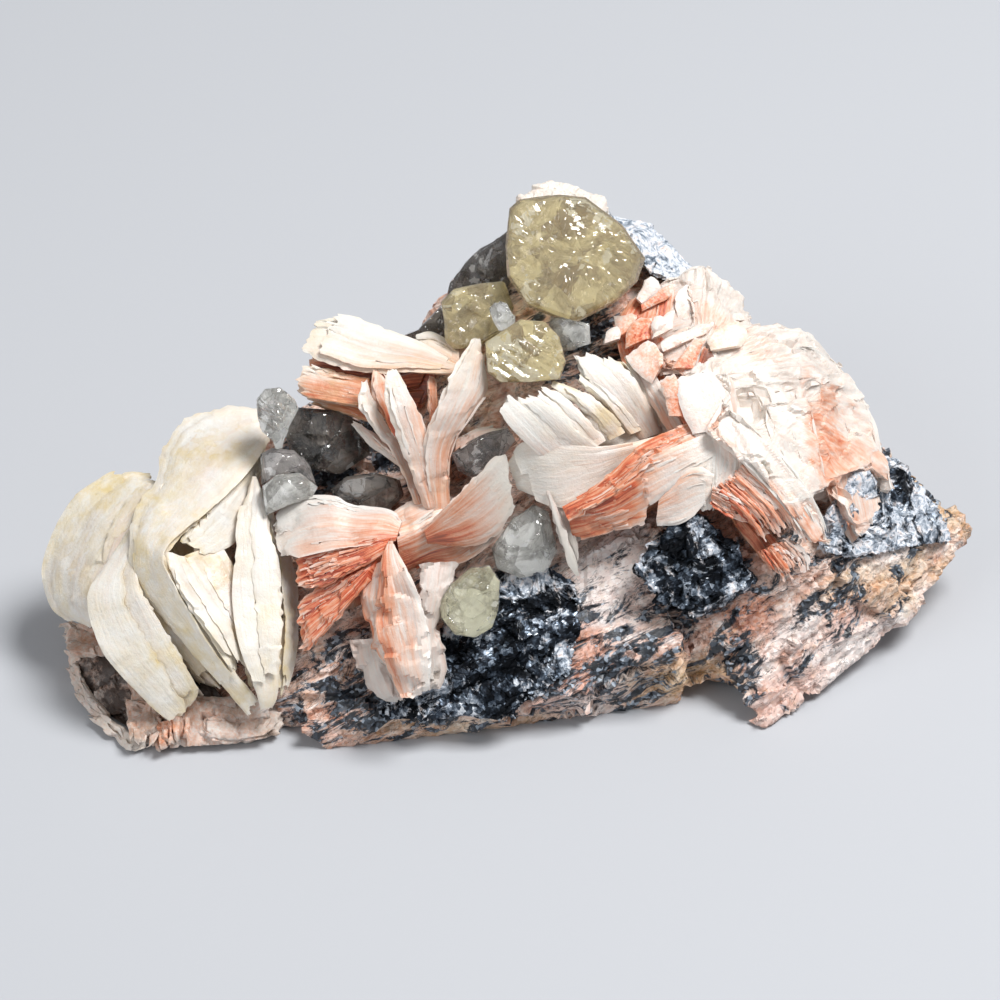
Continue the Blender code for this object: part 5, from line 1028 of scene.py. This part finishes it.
        ([(10.3, 15.6, 8.6), (10.4, 17.2, 8)], [(12.1, 16.2, 8.6), (11.8, 17.7, 8)], 0.9, PETAL_WHITE),
        ([(12.6, 15.2, 8.9), (12.8, 17.3, 8.2), (13.8, 18.4, 7.6)],
         [(15, 16.2, 8.9), (15.2, 17.6, 8.4), (15.2, 18.6, 8)], 0.9, PETAL_RED),
        ([(15.1, 16.1, 9.5), (15.3, 18.5, 8.8)], [(17.2, 17.1, 9.2), (17.5, 19.4, 8.4)], 0.9, PETAL_WHITE),
        ([(16.4, 14.9, 10.4), (15.8, 16.3, 10)], [(20.8, 16.7, 9.2), (22, 18.6, 8.2)], 0.9, PETAL_WHITE),
        ([(21, 14.9, 10.6), (20.8, 16.3, 10), (22.4, 17.8, 9)],
         [(24.2, 15.4, 9.8), (24.8, 16.8, 9), (23.9, 18, 8.4)], 0.9, PETAL_PEACH),
        ([(19.3, 13.1, 10.4), (20.6, 15.8, 9.8)], [(21.5, 13.4, 10.4), (21.3, 15, 9.8)], 0.7, ROOT),
        ([(15.2, 11.6, 11.4), (13.6, 12.8, 11), (12.3, 14.4, 10.4)],
         [(16.3, 13.6, 11.2), (16, 15.2, 10.6), (14.8, 16.4, 10)], 0.9, PETAL),
        ([(17, 13.1, 11.2), (19.8, 16.6, 10)], [(19.2, 13.2, 11.2), (20.7, 16.1, 10)], 0.9, PETAL_RED),
        ([(17, 8.4, 12.8), (16.4, 10.4, 12.4), (15.8, 12.2, 11.8)],
         [(19.6, 8.3, 13), (18.3, 10.9, 12.6), (17.4, 12.9, 11.8)], 0.9, PETAL_RED),
        ([(19.3, 6.6, 13.6), (18.1, 9, 13.3), (17.3, 12.4, 12.2)],
         [(23.6, 7.2, 13.6), (22.8, 10.6, 12.8), (21.2, 13.3, 11.6)], 1.1, PETAL_WHITE),
    ]),
    "barite_mass_right": ("barite_white", [
        ([(14, 19.7, 3), (17.2, 22, 3), (20.2, 23.4, 2.5), (23.3, 20.6, 1.5), (24.5, 17.5, 1.5)],
         [(15.5, 15.5, 7), (19, 16.5, 8), (22, 16.5, 8), (23.8, 16.2, 7), (24.8, 16, 6)], 2.2, MASS),
        ([(15.5, 15.5, 8), (19, 17.5, 8), (23.5, 17.5, 6.5), (30, 16.5, 4)],
         [(16, 12.5, 10), (20, 12.8, 10.5), (24, 12.8, 10), (30, 13.5, 7.5)], 2.0, MASS),
        ([(21.2, 14.8, 9), (24.5, 17, 6), (30.3, 16.5, 3), (33.8, 13, 2)],
         [(22.2, 10.5, 11.5), (27, 10.8, 11), (31.2, 11.5, 9), (34.2, 10.5, 6)], 2.2, MASS_GREY),
        ([(19, 7.2, 12), (18.4, 10.5, 11.5), (18, 12.8, 10.8)],
         [(23.5, 7.5, 13), (23.5, 10.5, 12.5), (23, 12.8, 11.5)], 1.6, MASS),
        ([(30, 0, 14), (27.5, 5, 14), (26, 9.5, 13)],
         [(32.5, 1, 11), (31.5, 6, 11), (30.5, 10.5, 10)], 1.8, MASS),
        ([(35, -4.5, 8), (32.5, 2, 9), (30.6, 8, 9.5), (31.2, 12.5, 8.5)],
         [(38.5, 0, 4), (37.7, 6, 3), (36.2, 9.2, 2.5), (33.8, 13, 3)], 2.4, MASS_ORANGE),
        ([(22.2, 9.8, 13.5), (27.8, 5, 14.5), (31.5, 0, 14), (33.2, -4.5, 12.5)],
         [(20.5, 6.8, 14.5), (24.5, 3.5, 15.5), (28.5, -1.2, 15), (30.8, -4.5, 13.5)], 1.3, MASS_FIBRES),
        ([(18.8, 6.6, 13), (19, 2.4, 14), (19.8, -1.6, 14)],
         [(24.6, 6.6, 14), (24.2, 2.4, 14.4), (22.6, -1.2, 14.6)], 1.2, MASS_FIBRES),
    ]),
    "barite_spray_red": ("barite_orange", [
        ([(24.5, 4.5, 14.5), (29, 0, 14.5), (31.5, -4.5, 13)],
         [(21.2, 1, 15), (24.5, -2, 15), (26.5, -4.8, 14)], 1.4, SPRAY),
        ([(21.2, 1.2, 15), (23, 0.6, 15.2), (24.8, -0.4, 15)],
         [(21, -0.4, 14.5), (23, -1.6, 14.5), (25.6, -2.6, 14.4)], 1.2, SPRAY),
        ([(28.6, -3.6, 13.2), (30.6, -5.4, 12.8), (31.4, -7.8, 12.2)],
         [(25.8, -5, 13.6), (26.8, -6.6, 13.4), (28.4, -8.6, 13)], 1.2, SPRAY),
        ([(24, 1, 12), (29, -5.4, 11)], [(23, -2, 12), (26.4, -6, 11)], 2.2, ROOT),
    ]),
    "barite_splinters": ("barite_white", [
        ([(4.6, 0.9, 13.8), (5.4, -2.4, 14), (7, -6.8, 13.4), (7.9, -8.2, 12.6)],
         [(5, 0.9, 13.8), (6.4, -2.4, 14), (7.6, -6, 13.6), (8.2, -8, 12.8)], 0.8, SPLINTER),
        ([(5.8, -0.5, 12.8), (6.4, -2.8, 13), (7.6, -6.6, 12.4)],
         [(6.8, -0.6, 12.8), (7.4, -2.8, 13), (8.2, -6.6, 12.2)], 0.8, SPLINTER),
        ([(5.4, -1.2, 12.2), (7.4, -7.2, 11.8)], [(6.6, -1.2, 12), (8, -7.2, 11.6)], 2.2, SPLINTER),
    ]),
}


def radiating(points):
    """The points in coordinates for a spray that spreads from one place on the crystal face: the
    arc round that place, a tenth of the distance from it, and a third of near."""
    place = points / MM - PLANE_CENTRE
    across, up = place @ RIGHT - SPRAY_ROOT[0], place @ UPWARDS - SPRAY_ROOT[1]
    arc = np.arctan2(up, across) * SPRAY_ARC
    return np.stack([arc, 0.1 * np.hypot(across, up), 0.33 * (place @ TOWARDS)], axis=-1) * MM


# Between its blades the right-hand mass is solid: fine snow-white spar in a spray that spreads
# from the orange petals, stained orange near its right end and under its middle.
SPRAY_ROOT = (19.0, 13.0)
SPRAY_ARC = 14.0
BODY_GAP = 0.9 * MM
BODY_VOXEL = 0.3 * MM
BODY_SINK = 0.35 * MM
BODY_ORANGE = [
    (33.0, 5.5, 1.8, 6.0, 12, 0.6), (36.0, 3.0, 2.0, 5.0, 12, 0.35), (19, 9, 2, 3, 30, 0.6),
    (26.5, -3, 5, 3, -35, 0.7), (22, 18, 5, 1.2, -30, 0.3), (31, 8, 0.6, 5, 10, 0.3), (16.5, 11, 2, 4, 30, 0.6)]
BODY_GREY = [(31, 13, 4, 3, -40, 0.5), (24, 20, 6, 1, -35, 0.5), (37, -1, 2, 3, 20, 0.6)]
body, body_points, body_normals = remeshed_copy("barite_mass_right", "barite_mass_right_body", BODY_VOXEL)
body.data.vertices.foreach_set("co", (body_points + BODY_GAP * body_normals).astype(np.float32).ravel())
body.data.update()
body_points, body_normals = as_even_net(body, BODY_VOXEL)
body_flow = radiating(body_points)
body_cut = 0.24 * MM * clouds(body_flow, 0.9 * MM, 91) + 0.14 * MM * clouds(body_flow, 0.4 * MM, 92)
body_cut += 0.14 * facets(body_points, 3.4 * MM, 93) + 0.06 * MM * clouds(body_points, 0.6 * MM, 94)
body_cut -= BODY_GAP + BODY_SINK
orange, grey = patchwork(body_points, BODY_ORANGE, 211), patchwork(body_points, BODY_GREY, 212)
none = np.zeros(len(body_points))
# The last tint number is painted shade: a little everywhere, more in the grey patches.
body_tint = [0.08 + 0.6 * orange, none + 0.05, none + 0.1, 0.05 + 0.5 * grey]
note(body.data, "tint", "FLOAT_COLOR", np.stack(body_tint, axis=1))
note(body.data, "grain", "FLOAT_VECTOR", body_flow)
settle(body, body_points + body_normals * body_cut[:, None], spar, "barite_white", "barite_mass_right")

for seed, (cad_name, (slot, plates)) in enumerate(BARITE.items()):
    rng = np.random.default_rng(100 + seed)
    made = [part for plate in plates for part in plate_blades(*plate, rng)]
    starts = np.cumsum([0] + [len(part[0]) for part in made[:-1]])
    points = np.concatenate([part[0] for part in made])
    points[:, 2] = np.maximum(points[:, 2], 0.05 * MM)
    faces = np.concatenate([part[1] + start for part, start in zip(made, starts)])
    mesh = bpy.data.meshes.new(cad_name + "_blades")
    mesh.from_pydata(points.tolist(), [], faces.tolist())
    note(mesh, "tint", "FLOAT_COLOR", np.concatenate([part[2] for part in made]))
    note(mesh, "grain", "FLOAT_VECTOR", np.concatenate([part[3] for part in made]))
    mesh.materials.append(spar)
    mesh.materials.append(glassy_spar)
    mesh.polygons.foreach_set("material_index", np.concatenate([part[4] for part in made]).astype(np.int32))
    mesh.shade_smooth()
    mesh.set_sharp_from_angle(angle=math.radians(32.0))
    group = bpy.data.objects.new(cad_name + "_blades", mesh)
    bpy.context.scene.collection.objects.link(group)
    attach(group, "root")
    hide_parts(cad_name)

# The knob on the crest: a small lump of white sugary barite behind the large honey crystal.
KNOB_SWELL = 0.4 * MM
knob, knob_points, knob_normals = remeshed_copy("barite_knob_top", "barite_knob_top_sugar", 0.2 * MM)
knob_lumps = 0.25 * facets(knob_points, 2.2 * MM, 77) + 0.15 * facets(knob_points, 0.7 * MM, 78) + KNOB_SWELL
# The last tint number is a slight painted shade.
note(knob.data, "tint", "FLOAT_COLOR", np.tile([0.06, 0.05, 0.2, 0.1], (len(knob_points), 1)))
note(knob.data, "grain", "FLOAT_VECTOR", knob_points)
settle(knob, knob_points + knob_normals * knob_lumps[:, None], spar, "barite_white", "barite_knob_top")

# The floor: a plain pale sheet, level with the specimen's underside.
FLOOR_HALF = 1.5
paper, paper_out = new_material("matt_pale_paper")
paper_skin = node(paper, "ShaderNodeBsdfPrincipled", {"Base Color": linear("#B6B8BC"), "Roughness": 0.85})
paper.node_tree.links.new(paper_skin.outputs["BSDF"], paper_out.inputs["Surface"])
floor_mesh = bpy.data.meshes.new("floor")
floor_corners = [(x * FLOOR_HALF, y * FLOOR_HALF, 0.0) for x, y in ((-1, -1), (1, -1), (1, 1), (-1, 1))]
floor_mesh.from_pydata(floor_corners, [], [(0, 1, 2, 3)])
floor_mesh.materials.append(paper)
floor = bpy.data.objects.new("floor", floor_mesh)
bpy.context.scene.collection.objects.link(floor)

# The light: a soft panel high on the right, a broad weak one low at the left, and a pale
# surround.
for label, place, size, power in [
    ("panel_right", (0.26, -0.02, 0.60), 0.26, 5.2),
    ("panel_left", (-0.50, -0.40, 0.40), 0.50, 1.6),
]:
    panel_data = bpy.data.lights.new(label, "AREA")
    panel_data.shape = "SQUARE"
    panel_data.size = size
    panel_data.energy = power
    panel = bpy.data.objects.new(label, panel_data)
    panel.matrix_world = Matrix.Translation(place) @ Vector(place).to_track_quat("Z", "Y").to_matrix().to_4x4()
    bpy.context.scene.collection.objects.link(panel)
surround = bpy.data.worlds.new("surround")
surround.use_nodes = True
surround.node_tree.nodes["Background"].inputs["Color"].default_value = linear("#E8ECF2")
surround.node_tree.nodes["Background"].inputs["Strength"].default_value = 0.34
bpy.context.scene.world = surround
bpy.context.scene.view_settings.view_transform = "Standard"
